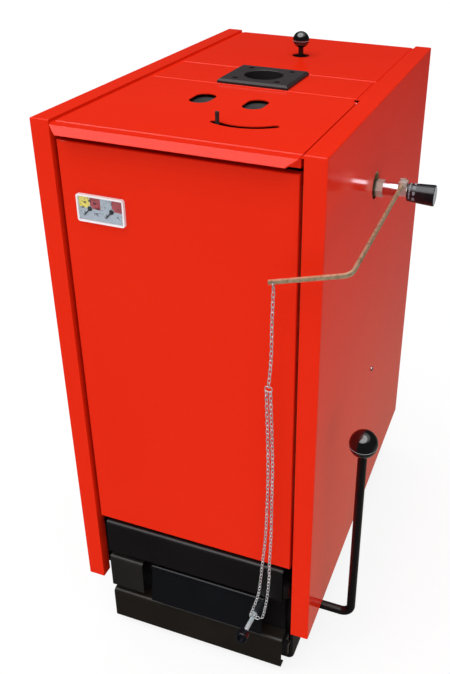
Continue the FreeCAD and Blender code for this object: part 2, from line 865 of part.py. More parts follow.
inner_of_outer = f"({vessel_half} - plate)"
outer_front = box("outer_front", (f"-{inner_of_outer}", inner_of_outer),
                  (vessel_front, f"{vessel_front} + plate"), ("door_head + plate", vessel_top))
outer_rear = cut("outer_rear_drilled",
                 box("outer_rear", (f"-{inner_of_outer}", inner_of_outer),
                     (f"{vessel_rear} - plate", vessel_rear), ("base_thick", vessel_top)),
                 rod("outer_flue_hole", "y", ("0", flue_z), ("0", rear), "flue_radius - flue_step"),
                 rod("outer_return_hole", "y", ("0", "return_height"), ("0", rear), neck_outer),
                 rod("outer_drain_hole", "y", ("-drain_offset", "drain_height + floor_gap"), ("0", rear),
                     "drain_radius + drain_wall"))
node("outer_end_plates", group("outer_ends", outer_front, outer_rear))

jacket_top = f"({vessel_top} - plate)"
jacket_floor_top = "(jacket_foot + plate)"
inner_sides = [
    box(f"inner_side_{side + 1}", mirror_pair(side, shaft_half, f"{shaft_half} + plate"),
        (f"{shaft_front} - plate", f"{flue_rear} + plate"), (jacket_floor_top, jacket_top))
    for side in (-1, 1)]
flue_plate = cut("flue_plate_drilled",
                 box("flue_plate", (f"-{shaft_half}", shaft_half), (flue_rear, f"{flue_rear} + plate"),
                     (jacket_floor_top, jacket_top)),
                 rod("inner_flue_hole", "y", ("0", flue_z), ("0", rear), "flue_radius - flue_step"))
node("inner_plates", group(
    "inner_walls", *inner_sides,
    box("shaft_plate", (f"-{shaft_half}", shaft_half), (f"{shaft_front} - plate", shaft_front),
        (jacket_floor_top, jacket_top)),
    flue_plate))

partition = new_body("partition_body")
partition_low = "partition_foot"
pad(partition, outline(sketch(partition, "partition_profile", "YZ_Plane"), [
    (shaft_rear, jacket_top), (shaft_rear, partition_low),
    (flue_front, partition_low), (flue_front, jacket_top),
    (f"{flue_front} - plate", jacket_top), (f"{flue_front} - plate", f"{partition_low} + plate"),
    (f"{shaft_rear} + plate", f"{partition_low} + plate"), (f"{shaft_rear} + plate", jacket_top)]),
    f"2 * {shaft_half}", both=True)
node("partition", partition)


def jacket_floor():
    """Bottom closing strips of the jacket."""
    z = ("jacket_foot", jacket_floor_top)
    strips = [
        box("floor_front", (f"-{inner_of_outer}", inner_of_outer),
            (f"{vessel_front} + plate", shaft_front), z),
        box("floor_rear", (f"-{inner_of_outer}", inner_of_outer), (flue_rear, f"{vessel_rear} - plate"), z),
    ]
    for sign in (-1, 1):
        tag = "right" if sign > 0 else "left"
        strips.append(box(f"floor_{tag}", mirror_pair(sign, shaft_half, inner_of_outer),
                          (shaft_front, flue_rear), z))
    return strips


grate_y = f"({shaft_front} + shaft_depth / 2)"
grate_z = "(jacket_foot - grate_drop)"
bearing_wrap = "(trunnion_radius + bearing_wrap)"
bearing_low = f"({shaft_half} + bearing_offset)"
bearings = []
for side in (-1, 1):
    span = mirror_pair(side, bearing_low, f"{bearing_low} + bearing_thick")
    hanger = box(f"bearing_{side + 1}", span, (f"{grate_y} - {bearing_wrap}", f"{grate_y} + {bearing_wrap}"),
                 (f"{grate_z} - {bearing_wrap}", "jacket_foot"))
    bearings.append(cut(f"bearing_bored_{side + 1}", hanger,
                        rod(f"bearing_bore_{side + 1}", "x", (grate_y, grate_z), span,
                            "trunnion_radius + fit_gap")))
node("jacket_floor", group("jacket_floor_plates", *jacket_floor(), *bearings))


def top_plates():
    """Vessel top round the loading mouth and over the flue."""
    z = (jacket_top, vessel_top)
    strips = [box("top_front", (f"-{inner_of_outer}", inner_of_outer),
                  (f"{vessel_front} + plate", shaft_front), z)]
    for sign in (-1, 1):
        tag = "right" if sign > 0 else "left"
        strips.append(box(f"top_{tag}", mirror_pair(sign, shaft_half, inner_of_outer),
                          (shaft_front, shaft_rear), z))
    rear_plate = box("top_rear", (f"-{inner_of_outer}", inner_of_outer),
                     (shaft_rear, f"{vessel_rear} - plate"), z)
    drilled = cut("top_rear_drilled", rear_plate,
                  rod("top_neck_hole", "z", ("0", flange_y), ("0", f"2 * {vessel_top}"), neck_outer),
                  rod("top_guide_hole", "z", ("0", rod_y), ("0", f"2 * {vessel_top}"),
                      "rod_radius + guide_wall"))
    return node("vessel_top", group("vessel_top_plates", *strips, drilled))


top_plates()

flue_axle_y = f"({rod_y} - flue_flap_arm)"
flue_axle_z = f"({ceiling} - flue_flap_drop)"


def flue_ceiling():
    """Water-cooled roof of the flue with two lugs for the damper's axle."""
    plate = box("ceiling_plate", (f"-{shaft_half}", shaft_half), (flue_front, flue_rear),
                (ceiling, f"{ceiling} + plate"))
    guide = rod("ceiling_guide_hole", "z", ("0", rod_y), ("0", f"2 * {ceiling}"), "rod_radius + guide_wall")
    wrap = "(flue_axle + lug_wrap)"
    lugs = []
    for sign in (-1, 1):
        span = mirror_pair(sign, "flue_flap_half + fork_thick", "flue_flap_half + fork_thick + lug_thick")
        lugs.append(box(f"damper_lug_{sign + 1}", span,
                        (f"{flue_axle_y} - {wrap}", f"{flue_axle_y} + {wrap}"),
                        (f"{flue_axle_z} - {wrap}", ceiling)))
    bore = rod("lug_bores", "x", (flue_axle_y, flue_axle_z), (f"-{shaft_half}", shaft_half),
               "flue_axle + fit_gap")
    return node("flue_ceiling", cut("ceiling_cut", fuse("ceiling_fused", plate, *lugs), guide, bore))


flue_ceiling()


def flanged_neck(name, length):
    """Four-bolt flange with a bored neck; the flange face is at the body's own origin, facing +Z."""
    body = new_body(name)
    wide, deep = "flange_wide / 2", "flange_deep / 2"
    square = [(f"-{wide}", f"-{deep}"), (wide, f"-{deep}"), (wide, deep), (f"-{wide}", deep)]
    pad(body, outline(sketch(body, f"{name}_square", "XY_Plane"), square), "flange_rise", back=True)
    soften(body, "Chamfer", lambda edge: abs(edge.BoundBox.Center.z) < 1e-4, "flange_chamfer")
    neck = ring(sketch(body, f"{name}_neck", "XY_Plane", "-flange_rise"), "0", "0", neck_outer)
    pad(body, neck, length, back=True)
    bore = ring(sketch(body, f"{name}_bore", "XY_Plane"), "0", "0", "flange_bore / 2")
    pocket(body, bore)

    def bore_rim(edge):
        return abs(edge.BoundBox.Center.z) < 1e-4 and near(edge.BoundBox.XLength, "flange_bore")

    soften(body, "Chamfer", bore_rim, "bore_chamfer")
    hole = ring(sketch(body, f"{name}_hole", "XY_Plane"), "flange_circle / 2 * cos(45)",
                "flange_circle / 2 * sin(45)", "flange_hole / 2")
    drilled = pocket(body, hole)
    pattern = body.newObject("PartDesign::PolarPattern", f"{name}_pattern")
    pattern.Originals = [drilled]
    pattern.Axis = axis_of(body, "Z_Axis")
    pattern.Angle = 360
    pattern.Occurrences = 4
    body.Tip = pattern
    doc.recompute()
    return body


flow = flanged_neck("flow_body", f"{plate_top} - {jacket_top}")
node("flow_flange", place(flow, "0", flange_y, f"{plate_top} + flange_rise"))

back_face = Rotation(Vector(1, 0, 0), -90)
ret = flanged_neck("return_body", f"{rear} - {vessel_rear} + return_reach - flange_rise + plate")
ret.Placement = Placement(Vector(), back_face)
node("return_flange", place(ret, "0", f"{rear} + return_reach", "return_height"))


def tube_along_y(name, x, z, y, inner, outer):
    return cut(f"{name}_tube", rod(f"{name}_outer", "y", (x, z), y, outer),
               rod(f"{name}_inner", "y", (x, z), (f"{y[0]} - sheet", f"{y[1]} + sheet"), inner))




def flue_outlet():
    """Smoke pipe through the rear jacket, with a slightly wider end for the chimney pipe."""
    span = (flue_rear, f"{rear} + flue_reach")
    pipe = rod("flue_pipe", "y", ("0", flue_z), span, "flue_radius - flue_step")
    stub = rod("flue_stub", "y", ("0", flue_z), (f"{rear} + seam", span[1]), "flue_radius")
    bore = rod("flue_bore", "y", ("0", flue_z), span, "flue_radius - flue_wall")
    return node("flue_outlet", cut("flue_tube", fuse("flue_fused", pipe, stub), bore))


flue_outlet()
node("drain_socket", tube_along_y("drain", "-drain_offset", "drain_height + floor_gap",
                                  (f"{vessel_rear} - plate", f"{rear} + drain_reach"),
                                  "drain_radius", "drain_radius + drain_wall"))
node("rod_guide", cut("guide_tube",
                      rod("guide_outer", "z", ("0", rod_y), (ceiling, f"{vessel_top} + guide_rise"),
                          "rod_radius + guide_wall"),
                      rod("guide_inner", "z", ("0", rod_y), ("0", f"2 * {vessel_top}"),
                          "rod_radius + fit_gap")))


# hinge brackets of the lid stand on the vessel top and carry short pins


def lid_brackets():
    brackets = []
    wrap = "(hinge_pin_radius + hinge_eye)"
    for sign in (-1, 1):
        tag = "right" if sign > 0 else "left"
        outer_face = f"{lid_half} - ear_inset + face_gap"
        post = box(f"hinge_post_{tag}", mirror_pair(sign, outer_face, f"{outer_face} + hinge_ear"),
                   (f"{hinge_y} - {wrap}", f"{hinge_y} + {wrap}"), (vessel_top, hinge_z))
        head = rod(f"hinge_head_{tag}", "x", (hinge_y, hinge_z),
                   mirror_pair(sign, outer_face, f"{outer_face} + hinge_ear"), wrap)
        pin = rod(f"hinge_pin_{tag}", "x", (hinge_y, hinge_z),
                  mirror_pair(sign, f"{outer_face} - hinge_ear - face_gap", f"{lid_half} - sheet"),
                  "hinge_pin_radius")
        brackets.append(fuse(f"hinge_bracket_{tag}", post, head, pin))
    return node("lid_hinge_brackets", group("lid_brackets", *brackets))


lid_brackets()


# insulation between the vessel and the casing


def insulation():
    gap = "face_gap"
    side_z = (f"floor_gap + {gap}", f"{vessel_top} - {gap}")
    slabs = []
    for sign in (-1, 1):
        slab = box(f"wool_side_{sign + 1}", mirror_pair(sign, vessel_half, f"{half} - sheet"),
                   (vessel_front, vessel_rear), side_z)
        if sign > 0:
            slab = cut("wool_side_cut", slab,
                       rod("wool_regulator_hole", "x", (regulator_y, regulator_z),
                           ("0", f"2 * {half}"), "regulator_hole"))
        shank = rod(f"wool_screw_{sign + 1}", "x", (back("side_screw_setback"), "side_screw_height"),
                    mirror_pair(sign, "0", f"2 * {half}"), f"screw_shank + {gap}")
        slabs.append(cut(f"wool_side_drilled_{sign + 1}", slab, shank))
    node("side_insulation", group("wool_sides", *slabs))

    front_slab = box("wool_front", (f"-{panel_half} + sheet + {gap}", f"{panel_half} - sheet - {gap}"),
                     (f"{panel_face} + sheet", vessel_front),
                     (f"{panel_low} + sheet + {gap}", f"{panel_high} - 2 * panel_fold"))
    room = box("wool_gauge_room",
               ("-gauge_offset - gauge_width / 2", "-gauge_offset + gauge_width / 2"),
               (front, f"{vessel_front} + plate"), (gauge_low, f"{gauge_low} + gauge_tall"))
    node("front_insulation", cut("wool_front_cut", front_slab, room))

    rear_slab = box("wool_rear", (f"-{vessel_half}", vessel_half), (vessel_rear, f"{rear} - 2 * sheet"),
                    (f"floor_gap + {gap}", f"{vessel_top} - {gap}"))
    node("rear_insulation", cut(
        "wool_rear_cut", rear_slab,
        rod("wool_flue", "y", ("0", flue_z), ("0", f"2 * {rear}"), f"flue_radius - flue_step + {gap}"),
        rod("wool_return", "y", ("0", "return_height"), ("0", f"2 * {rear}"), f"{neck_outer} + {gap}"),
        rod("wool_drain", "y", ("-drain_offset", "drain_height + floor_gap"), ("0", f"2 * {rear}"),
            f"drain_radius + drain_wall + {gap}")))

    top_slab = box("wool_top", (f"-{vessel_half}", vessel_half),
                   (f"{strip_front} + sheet + {gap}", vessel_rear),
                   (vessel_top, f"{plate_top} - strip_lip - {gap}"))
    lift_half = f"({ledge_end} - {gap})"
    lift = box("wool_lift", (f"-{lift_half}", lift_half),
               (f"{strip_front} + sheet + {gap}", f"{strip_rear} - sheet - {gap}"),
               (f"{plate_top} - strip_lip - {gap}", plate_low))
    lift_rear = box("wool_lift_rear", (f"-{lift_half}", lift_half),
                    (f"{strip_rear} + seam + sheet + {gap}", vessel_rear),
                    (f"{plate_top} - strip_lip - {gap}", plate_low))
    node("top_insulation", cut(
        "wool_top_cut", fuse("wool_top_fused", top_slab, lift, lift_rear),
        rod("wool_neck", "z", ("0", flange_y), ("0", f"2 * {vessel_top}"), f"{neck_outer} + {gap}"),
        rod("wool_rod", "z", ("0", rod_y), ("0", f"2 * {vessel_top}"), "rod_hole")))


insulation()


# combined thermometer and pressure gauge, set in the front panel

gauge_left = "(-gauge_offset - gauge_width / 2)"
gauge_right = "(-gauge_offset + gauge_width / 2)"
gauge_high = f"({gauge_low} + gauge_tall)"
bezel_face = f"({panel_face} - gauge_rise)"
dial_face = f"({bezel_face} + dial_depth)"


def window_span(text_width, text_tall):
    return ((f"-gauge_offset - {text_width} / 2", f"-gauge_offset + {text_width} / 2"),
            (f"{gauge_z} - {text_tall} / 2", f"{gauge_z} + {text_tall} / 2"))


def gauge():
    plate = box("bezel", (gauge_left, gauge_right), (bezel_face, panel_face), (gauge_low, gauge_high))
    bezel = rounded("bezel_rounded", plate, "gauge_corner", lambda edge: near(edge.Length, "gauge_rise"))
    case = box("gauge_case", (f"{gauge_left} + gauge_body_gap", f"{gauge_right} - gauge_body_gap"),
               (panel_face, vessel_front),
               (f"{gauge_low} + gauge_body_gap", f"{gauge_high} - gauge_body_gap"))
    x, z = window_span("window_width", "window_tall")
    well = box("gauge_well", x, (f"{bezel_face} - sheet", f"{dial_face} + dial_thick"), z)
    node("gauge_housing", cut("gauge_housing_cut", fuse("gauge_fused", bezel, case), well))

    inside_x = (f"{x[0]} + face_gap", f"{x[1]} - face_gap")
    inside_z = (f"{z[0]} + face_gap", f"{z[1]} - face_gap")
    dial = box("dial_plate", inside_x, (dial_face, f"{dial_face} + dial_thick"), inside_z)
    spindles = []
    for step in (-1, 1):
        centre = (f"-gauge_offset + {step} * dial_spacing / 2", gauge_z)
        spindles.append(rod(f"dial_spindle_{step + 1}", "y", centre,
                            (f"{bezel_face} + needle_depth - face_gap", dial_face), "spindle_radius"))
    node("gauge_dial", fuse("dial_fused", dial, *spindles))
    glass = (f"{bezel_face} + glass_depth", f"{bezel_face} + glass_depth + glass_thick")
    node("gauge_window", box("gauge_glass", inside_x, glass, inside_z))
    for step, label in ((-1, "temperature_needle"), (1, "pressure_needle")):
        centre = (f"-gauge_offset + {step} * dial_spacing / 2", gauge_z)
        span = (f"{bezel_face} + needle_depth", f"{bezel_face} + needle_depth + needle_thick")
        hub = rod(f"{label}_hub", "y", centre, span, "needle_hub")
        hand = doc.addObject("Part::Box", f"{label}_hand")
        hand.setExpression("Length", bind("needle_width"))
        hand.setExpression("Width", bind("needle_thick"))
        hand.setExpression("Height", bind("needle_length"))
        hand.Placement = Placement(Vector(), Rotation(Vector(0, 1, 0), value("needle_angle")))
        place(hand, f"{centre[0]} - needle_width / 2 * cos(needle_angle)", span[0],
              f"{centre[1]} + needle_width / 2 * sin(needle_angle)")
        bore = rod(f"{label}_bore", "y", centre, (f"{span[0]} - sheet", f"{span[1]} + sheet"),
                   "spindle_radius + fit_gap")
        node(label, cut(f"{label}_cut", fuse(f"{label}_fused", hub, hand), bore))


gauge()


# draught regulator on the right side: everything lies along X through one axis

regulator_at = ("0", regulator_y, regulator_z)


def regulator():
    face = half
    seat = f"({vessel_half} - plate)"
    sensor_tip = f"({seat} - water_gap * sensor_share)"
    body = turned("regulator_core", [
        (sensor_tip, "0"), (f"{face} + knob_start + knob_length / 2", "0"),
        (f"{face} + knob_start + knob_length / 2", "regulator_spindle"),
        (f"{face} + neck_out", "regulator_spindle"), (f"{face} + neck_out", "neck_radius"),
        (f"{face} - hex_in", "neck_radius"), (f"{face} - hex_in", "thread_radius"),
        (seat, "thread_radius"), (seat, "sensor_radius"), (sensor_tip, "sensor_radius"),
    ])
    hexagon = sketch(body, "regulator_hex", "YZ_Plane", f"{face} - hex_in")
    corner = "(hex_flats / 2 / cos(30))"
    outline(hexagon, [(f"{corner} * cos({60 * step})", f"{corner} * sin({60 * step})") for step in range(6)])
    pad(body, hexagon, "hex_in + hex_out")
    node("regulator_body", place(body, *regulator_at))

    start = f"({face} + knob_start)"
    end = f"({start} + knob_length)"
    depth = f"({face} + knob_start + knob_length / 2 + face_gap)"
    knob = turned("knob_body", [
        (start, "regulator_spindle + fit_gap"), (depth, "regulator_spindle + fit_gap"),
        (depth, "0"), (end, "0"),
        (end, "knob_large - knob_edge"), (f"{end} - knob_edge", "knob_large"),
        (f"{start} + knob_length / 3", "knob_small + knob_edge"), (f"{start} + knob_edge", "knob_small"),
        (start, "knob_small - knob_edge"),
    ])
    node("regulator_knob", place(knob, *regulator_at))


regulator()

clamp_start = f"({half} + neck_out + face_gap)"
clamp_end = f"({clamp_start} + clamp_width)"
arm_x = f"({clamp_start} + arm_in)"
arm_slope = "(arm_fall / (regulator_setback + arm_bend))"
arm_radius = "(arm_flats / 2 / cos(30))"


def hex_face(centre, along):
    """Hexagon across the arm at a point of it."""
    corner = value(arm_radius)
    turn = Rotation(Vector(0, 0, 1), along)
    corners = []
    for step in range(7):
        angle = math.radians(60 * step)
        corners.append(centre + turn.multVec(Vector(corner * math.cos(angle), corner * math.sin(angle), 0)))
    return Part.Face(Part.makePolygon(corners))


def bent_bar(start, corner, end, bend):
    """Hexagonal bar in two straight legs with a rounded bend between them."""
    first, second = (corner - start).normalize(), (end - corner).normalize()
    angle = first.getAngle(second)
    setback = bend * math.tan(angle / 2)
    axis = first.cross(second).normalize()
    foot = corner - first * setback
    centre = foot + axis.cross(first) * bend
    section = hex_face(foot, first)
    curve = section.revolve(centre, axis, math.degrees(angle))
    far = section.copy()
    far.rotate(centre, axis, math.degrees(angle))
    legs = [curve, far.extrude(end - corner - second * setback)]
    return hex_face(start, first).extrude(foot - start).fuse(legs)


arm_high = f"({regulator_z} + arm_offset)"
arm_top = point(arm_x, f"{regulator_y} + arm_tail", f"{arm_high} + arm_tail * {arm_slope}")
arm_corner = point(arm_x, back("(-arm_bend)"), f"{arm_high} - arm_fall")
arm_end = arm_corner + point("-arm_reach", "-arm_end_forward", "-arm_end_fall")
arm_eye = arm_end + (arm_corner - arm_end).normalize() * value("arm_eye_inset")
arm_solid = bent_bar(arm_top, arm_corner, arm_end, value("arm_round"))
eye_axis = (arm_corner - arm_end).cross(Vector(0, 0, 1)).normalize()
eye_drill = Part.makeCylinder(value("arm_eye_radius"), 4 * value("arm_flats"),
                              arm_eye - eye_axis * 2 * value("arm_flats"), eye_axis)
node("regulator_arm", plain("arm_rod", arm_solid.cut(eye_drill).removeSplitter()))


def arm_clamp():
    """Turning holder on the regulator's spindle, with the head that grips the arm and a collar."""
    hub = rod("clamp_hub", "x", (regulator_y, regulator_z), (clamp_start, clamp_end), "clamp_radius")
    head = box("clamp_block", (f"{clamp_start} + 1", f"{clamp_end} - 1"),
               (f"{regulator_y} - clamp_head", f"{regulator_y} + clamp_head"),
               (regulator_z, f"{arm_high} + arm_flats"))
    collar = rod("clamp_collar", "x", (regulator_y, regulator_z),
                 (clamp_end, f"{half} + knob_start - face_gap"), "collar_radius")
    bore = rod("clamp_bore", "x", (regulator_y, regulator_z), ("0", "2 * case_width"),
               "regulator_spindle + fit_gap")
    slot = plain("clamp_slot", hex_face(arm_top, arm_corner - arm_top).extrude(arm_corner - arm_top))
    screw = rod("clamp_screw", "z", (arm_x, regulator_y),
                (f"{arm_high} + arm_flats", f"{arm_high} + arm_flats + clamp_screw"), "clamp_screw")
    return node("arm_clamp", cut("clamp_cut", fuse("clamp_fused", hub, head, collar, screw), bore, slot))


arm_clamp()


# ash door: leaf with an air throat, two folded bands and a grip plate

leaf_y = (back("leaf_setback"), back("leaf_setback + leaf_thick"))
door_axis_x = "(door_half + door_hinge_offset)"
door_axis_y = back("door_hinge_setback")
upper_band_low = "(door_head - upper_band_tall)"
lower_band_top = "(door_foot + lower_band_tall)"
knuckle_lows = ("(door_foot + door_knuckle_rise)", "(door_head - door_knuckle_drop)")
flap_left = "(flap_left_inset - door_half)"
flap_right = "(door_half - flap_right_inset)"
flap_head = f"({upper_band_low} - flap_head_gap)"
flap_low = f"({lower_band_top} + flap_foot_gap)"
throat_left = f"({flap_left} + throat_inset)"
throat_right = f"({flap_right} - throat_inset)"
throat_high = f"({flap_head} - throat_inset)"
throat_low = f"({flap_low} + throat_inset / 2)"
throat_front = back("(flap_setback + throat_gap)")
flap_pin_y = back("flap_setback")


def ash_door_leaf():
    leaf = box("leaf_plate", ("-door_half + leaf_inset", "door_half - leaf_inset"), leaf_y,
               ("door_foot + leaf_inset", "door_head - leaf_inset"))
    throat = box("throat_block", (throat_left, throat_right), (throat_front, leaf_y[0]),
                 (throat_low, throat_high))
    cheeks = []
    inner_faces = (f"{flap_left} - face_gap", f"{flap_right} + face_gap + band_sheet")
    for number, inner_face in enumerate(inner_faces):
        cheeks.append(box(f"flap_cheek_{number}", (f"{inner_face} - band_sheet", inner_face),
                          (f"{flap_pin_y} - 2 * flap_pin_radius", leaf_y[0]),
                          (f"{flap_head} - 2 * flap_pin_radius", f"{flap_head} + 2 * flap_pin_radius")))
    pin = rod("flap_pin", "x", (flap_pin_y, flap_head),
              (f"{flap_left} - face_gap", f"{flap_right} + face_gap"), "flap_pin_radius")
    knuckles = []
    straps = []
    for number, low in enumerate(knuckle_lows):
        z = (low, f"{low} + door_knuckle_tall")
        knuckles.append(rod(f"door_knuckle_{number}", "z", (door_axis_x, door_axis_y), z,
                            "door_pin_radius + door_knuckle_wall"))
        straps.append(box(f"door_strap_{number}", ("door_half - 4 * door_knuckle_wall", door_axis_x),
                          (f"{door_axis_y} + door_pin_radius + fit_gap", leaf_y[0]), z))
    passage = box("throat_passage", (f"{throat_left} + throat_wall", f"{throat_right} - throat_wall"),
                  (f"{front} - sheet", f"{leaf_y[1]} + sheet"),
                  (f"{throat_low} + throat_wall", f"{throat_high} - throat_wall"))
    bore = rod("door_bore", "z", (door_axis_x, door_axis_y), ("0", "case_height"),
               "door_pin_radius + fit_gap")
    solid = fuse("leaf_fused", leaf, throat, *cheeks, pin, *knuckles, *straps)
    return node("ash_door_leaf", cut("leaf_cut", solid, passage, bore))


ash_door_leaf()


def folded_band(label, face, low, high, x, foot):
    """A folded cover: round top fold back to the leaf, flat face, and a return at the foot."""
    body = new_body(f"{label}_body")
    inner_face = f"({face} + band_sheet)"
    profile = [
        (leaf_y[0], high), (face, high), (face, low), (f"{face} + {foot}", low),
        (f"{face} + {foot}", f"{low} + band_sheet"), (inner_face, f"{low} + band_sheet"),
        (inner_face, f"{high} - band_sheet"), (leaf_y[0], f"{high} - band_sheet"),
    ]
    middle = f"(({x[0]} + {x[1]}) / 2)"
    drawing = outline(sketch(body, f"{label}_profile", "YZ_Plane", middle), profile)
    pad(body, drawing, f"{x[1]} - ({x[0]})", both=True)

    def top_fold(y, z):
        def test(edge):
            return near(edge.BoundBox.Center.y, y) and near(edge.BoundBox.Center.z, z)
        return test

    soften(body, "Fillet", top_fold(face, high), "band_fold")
    soften(body, "Fillet", top_fold(inner_face, f"{high} - band_sheet"), "band_fold - band_sheet")
    return node(label, body)


folded_band("upper_band", front, upper_band_low, "door_head", ("-door_half", "door_half"),
            "band_return / 2")
folded_band("lower_band", back("lower_band_setback"), "door_foot", lower_band_top,
            ("-door_half", "door_half"), "band_return")
folded_band("grip_plate", front, f"{lower_band_top} + grip_foot_gap", f"{upper_band_low} - grip_head_gap",
            ("-door_half", "-door_half + grip_width"), "3 * band_sheet")

frame_inner = f"({inner_of_outer} - door_frame_width)"
frame_y = (vessel_front, f"{vessel_front} + plate")
frame_low = "(door_foot + seal_width)"
frame_high = "(door_head - seal_width - plate)"
stile = ("base_thick", "door_head + plate")
node("ash_door_frame", group(
    "door_frame",
    box("frame_left", (f"-{inner_of_outer}", f"-{frame_inner}"), frame_y, stile),
    box("frame_right", (frame_inner, inner_of_outer), frame_y, stile),
    box("frame_foot", (f"-{frame_inner}", frame_inner), frame_y, (stile[0], frame_low)),
    box("frame_head", (f"-{frame_inner}", frame_inner), frame_y, (frame_high, stile[1]))))


def ash_door_seal():
    """Seal cord between the leaf and the frame."""
    y = (leaf_y[1], vessel_front)
    outer = box("seal_outer", (f"-{frame_inner} - seal_width", f"{frame_inner} + seal_width"), y,
                (f"{frame_low} - seal_width / 2", f"{frame_high} + seal_width"))
    inner = box("seal_inner", (f"-{frame_inner}", frame_inner), (front, vessel_rear),
                (f"{frame_low} + seal_width / 2", frame_high))
    return node("ash_door_seal", cut("seal_cut", outer, inner))


ash_door_seal()


def ash_hinge_brackets():
    """Two lugs on the frame, each with an upright pin under the door's knuckle."""
    brackets = []
    for number, low in enumerate(knuckle_lows):
        z = (f"{low} - face_gap - 2 * door_knuckle_wall", f"{low} - face_gap")
        wrap = "(door_pin_radius + door_knuckle_wall)"
        reach = (f"{door_axis_x} - {wrap}", f"{inner_of_outer} + door_knuckle_wall / 2")
        arm = box(f"door_lug_{number}", reach, (door_axis_y, vessel_front), z)
        head = rod(f"door_lug_head_{number}", "z", (door_axis_x, door_axis_y), z, wrap)
        pin = rod(f"door_pin_{number}", "z", (door_axis_x, door_axis_y),
                  (z[0], f"{low} + door_knuckle_tall"), "door_pin_radius")
        brackets.append(fuse(f"door_bracket_{number}", arm, head, pin))
    return node("ash_hinge_brackets", group("door_brackets", *brackets))


ash_hinge_brackets()


# air flap: drawn upright, then swung open about its pin

def swung(shape):
    """Turn a shape that was drawn with the flap shut to the stored, slightly open position."""
    return shape.rotate(point("0", flap_pin_y, flap_head), Vector(1, 0, 0), -value("flap_open"))


def slab(x, y, z):
    """A block in plain numbers between expression faces."""
    low = point(x[0], y[0], z[0])
    high = point(x[1], y[1], z[1])
    return Part.makeBox(high.x - low.x, high.y - low.y, high.z - low.z, low)


def air_flap():
    face = f"({flap_pin_y} - flap_thick / 2)"
    leaf = slab((flap_left, flap_right), (face, f"{face} + flap_thick"), (flap_low, flap_head))
    length = value(f"{flap_right} - {flap_left}")
    start = point(flap_left, flap_pin_y, flap_head)
    along = Vector(1, 0, 0)
    roll = Part.makeCylinder(value("flap_pin_radius + fit_gap + flap_roll"), length, start, along)
    bore = Part.makeCylinder(value("flap_pin_radius + fit_gap"), length, start, along)
    return node("air_flap", plain("flap_leaf", swung(leaf.fuse(roll).cut(bore).removeSplitter())))


air_flap()

bolt_x = f"({flap_right} - bolt_inset)"
bolt_z = f"({flap_head} - bolt_drop)"
bolt_root = f"({flap_pin_y} - flap_thick / 2)"
outwards = Vector(0, -1, 0)


def flap_bolt():
    """Bolt through the flap with a nut, an end eye for the chain, and a hollow cap."""
    root = point(bolt_x, bolt_root, bolt_z)
    shank = Part.makeCylinder(value("bolt_radius"), value("bolt_length"), root, outwards)
    corners = []
    for step in range(7):
        turn = math.radians(60 * step)
        reach = value("bolt_nut")
        corners.append(root + Vector(reach * math.cos(turn), 0, reach * math.sin(turn)))
    nut = Part.Face(Part.makePolygon(corners)).extrude(outwards * value("bolt_nut_thick"))
    eye = root + outwards * value("bolt_eye")
    hole = Part.makeCylinder(value("bolt_eye_radius"), 4 * value("bolt_radius"),
                             eye - Vector(2 * value("bolt_radius"), 0, 0), Vector(1, 0, 0))
    node("flap_bolt", plain("bolt", swung(shank.fuse(nut).cut(hole).removeSplitter())))

    cap_root = root + outwards * value("cap_start")
    cap = Part.makeCylinder(value("cap_radius"), value("cap_length"), cap_root, outwards)
    cap = cap.makeFillet(value("cap_radius") / 6, cap.Edges)
    depth = value("cap_length - cap_recess")
    recess = Part.makeCylinder(value("cap_radius") * 0.66, value("cap_recess") * 2,
                               cap_root + outwards * depth, outwards)
    socket = Part.makeCylinder(value("bolt_radius"), value("bolt_length - cap_start"), cap_root, outwards)
    node("flap_cap", plain("cap", swung(cap.cut(recess).cut(socket).removeSplitter())))


flap_bolt()


# grate lever: bent bar with a crank inside, ball knob, link and rocking grate

lever_x = f"({half} + lever_out)"
crank_x = f"({inner_of_outer} - crank_inset)"


def bent_bar():
    """Round bar along X that turns up through one bend."""
    start = point(f"{crank_x} - crank_thick", "0", "0")
    corner = point(lever_x, "0", "0")
    bend = value("lever_bend")
    top = point(lever_x, "0", "lever_rise")
    into = corner - Vector(bend, 0, 0)
    out = corner + Vector(0, 0, bend)
    middle = corner + Vector(-bend + bend * math.sin(math.pi / 4), 0, bend - bend * math.cos(math.pi / 4))
    path = Part.Wire([Part.LineSegment(start, into).toShape(), Part.Arc(into, middle, out).toShape(),
                      Part.LineSegment(out, top).toShape()])
    profile = Part.Wire([Part.Circle(start, Vector(1, 0, 0), value("lever_radius")).toShape()])
    return path.makePipeShell([profile], True, False)


def crank_plate(x, centre, wrap):
    """Flat arm that runs back from a shaft to a pin."""
    far = centre + Vector(0, value("crank_length"), 0)
    along = Vector(1, 0, 0)
    thick = value("crank_thick")
    low = Vector(x, 0, 0)
    plate = Part.makeCylinder(wrap, thick, centre + low, along)
    plate = plate.fuse(Part.makeCylinder(value("link_pin + crank_wrap"), thick, far + low, along))
    tall = value("link_pin + crank_wrap")
    bar = Part.makeBox(thick, value("crank_length"), 2 * tall, centre + low - Vector(0, 0, tall))
    pin = Part.makeCylinder(value("link_pin"), thick + value("link_thick + 3 * face_gap"), far + low, along)
    return plate.fuse([bar, pin])


def grate_lever():
    at = point("0", lever_y, lever_z)
    bar = bent_bar()
    bar.translate(at)
    crank = crank_plate(value(f"{crank_x} - crank_thick"), at, value("lever_radius + crank_wrap"))
    node("grate_lever", plain("lever_bar", bar.fuse(crank).removeSplitter()))
    node("lever_bush", cut("bush_bored",
                           rod("bush_blank", "x", (lever_y, lever_z),
                               (f"{vessel_half} - plate", f"{vessel_half} - plate + bush_length"),
                               "lever_radius + bush_wall"),
                           rod("bush_bore", "x", (lever_y, lever_z), ("0", f"2 * {half}"),
                               "lever_radius + fit_gap")))


grate_lever()


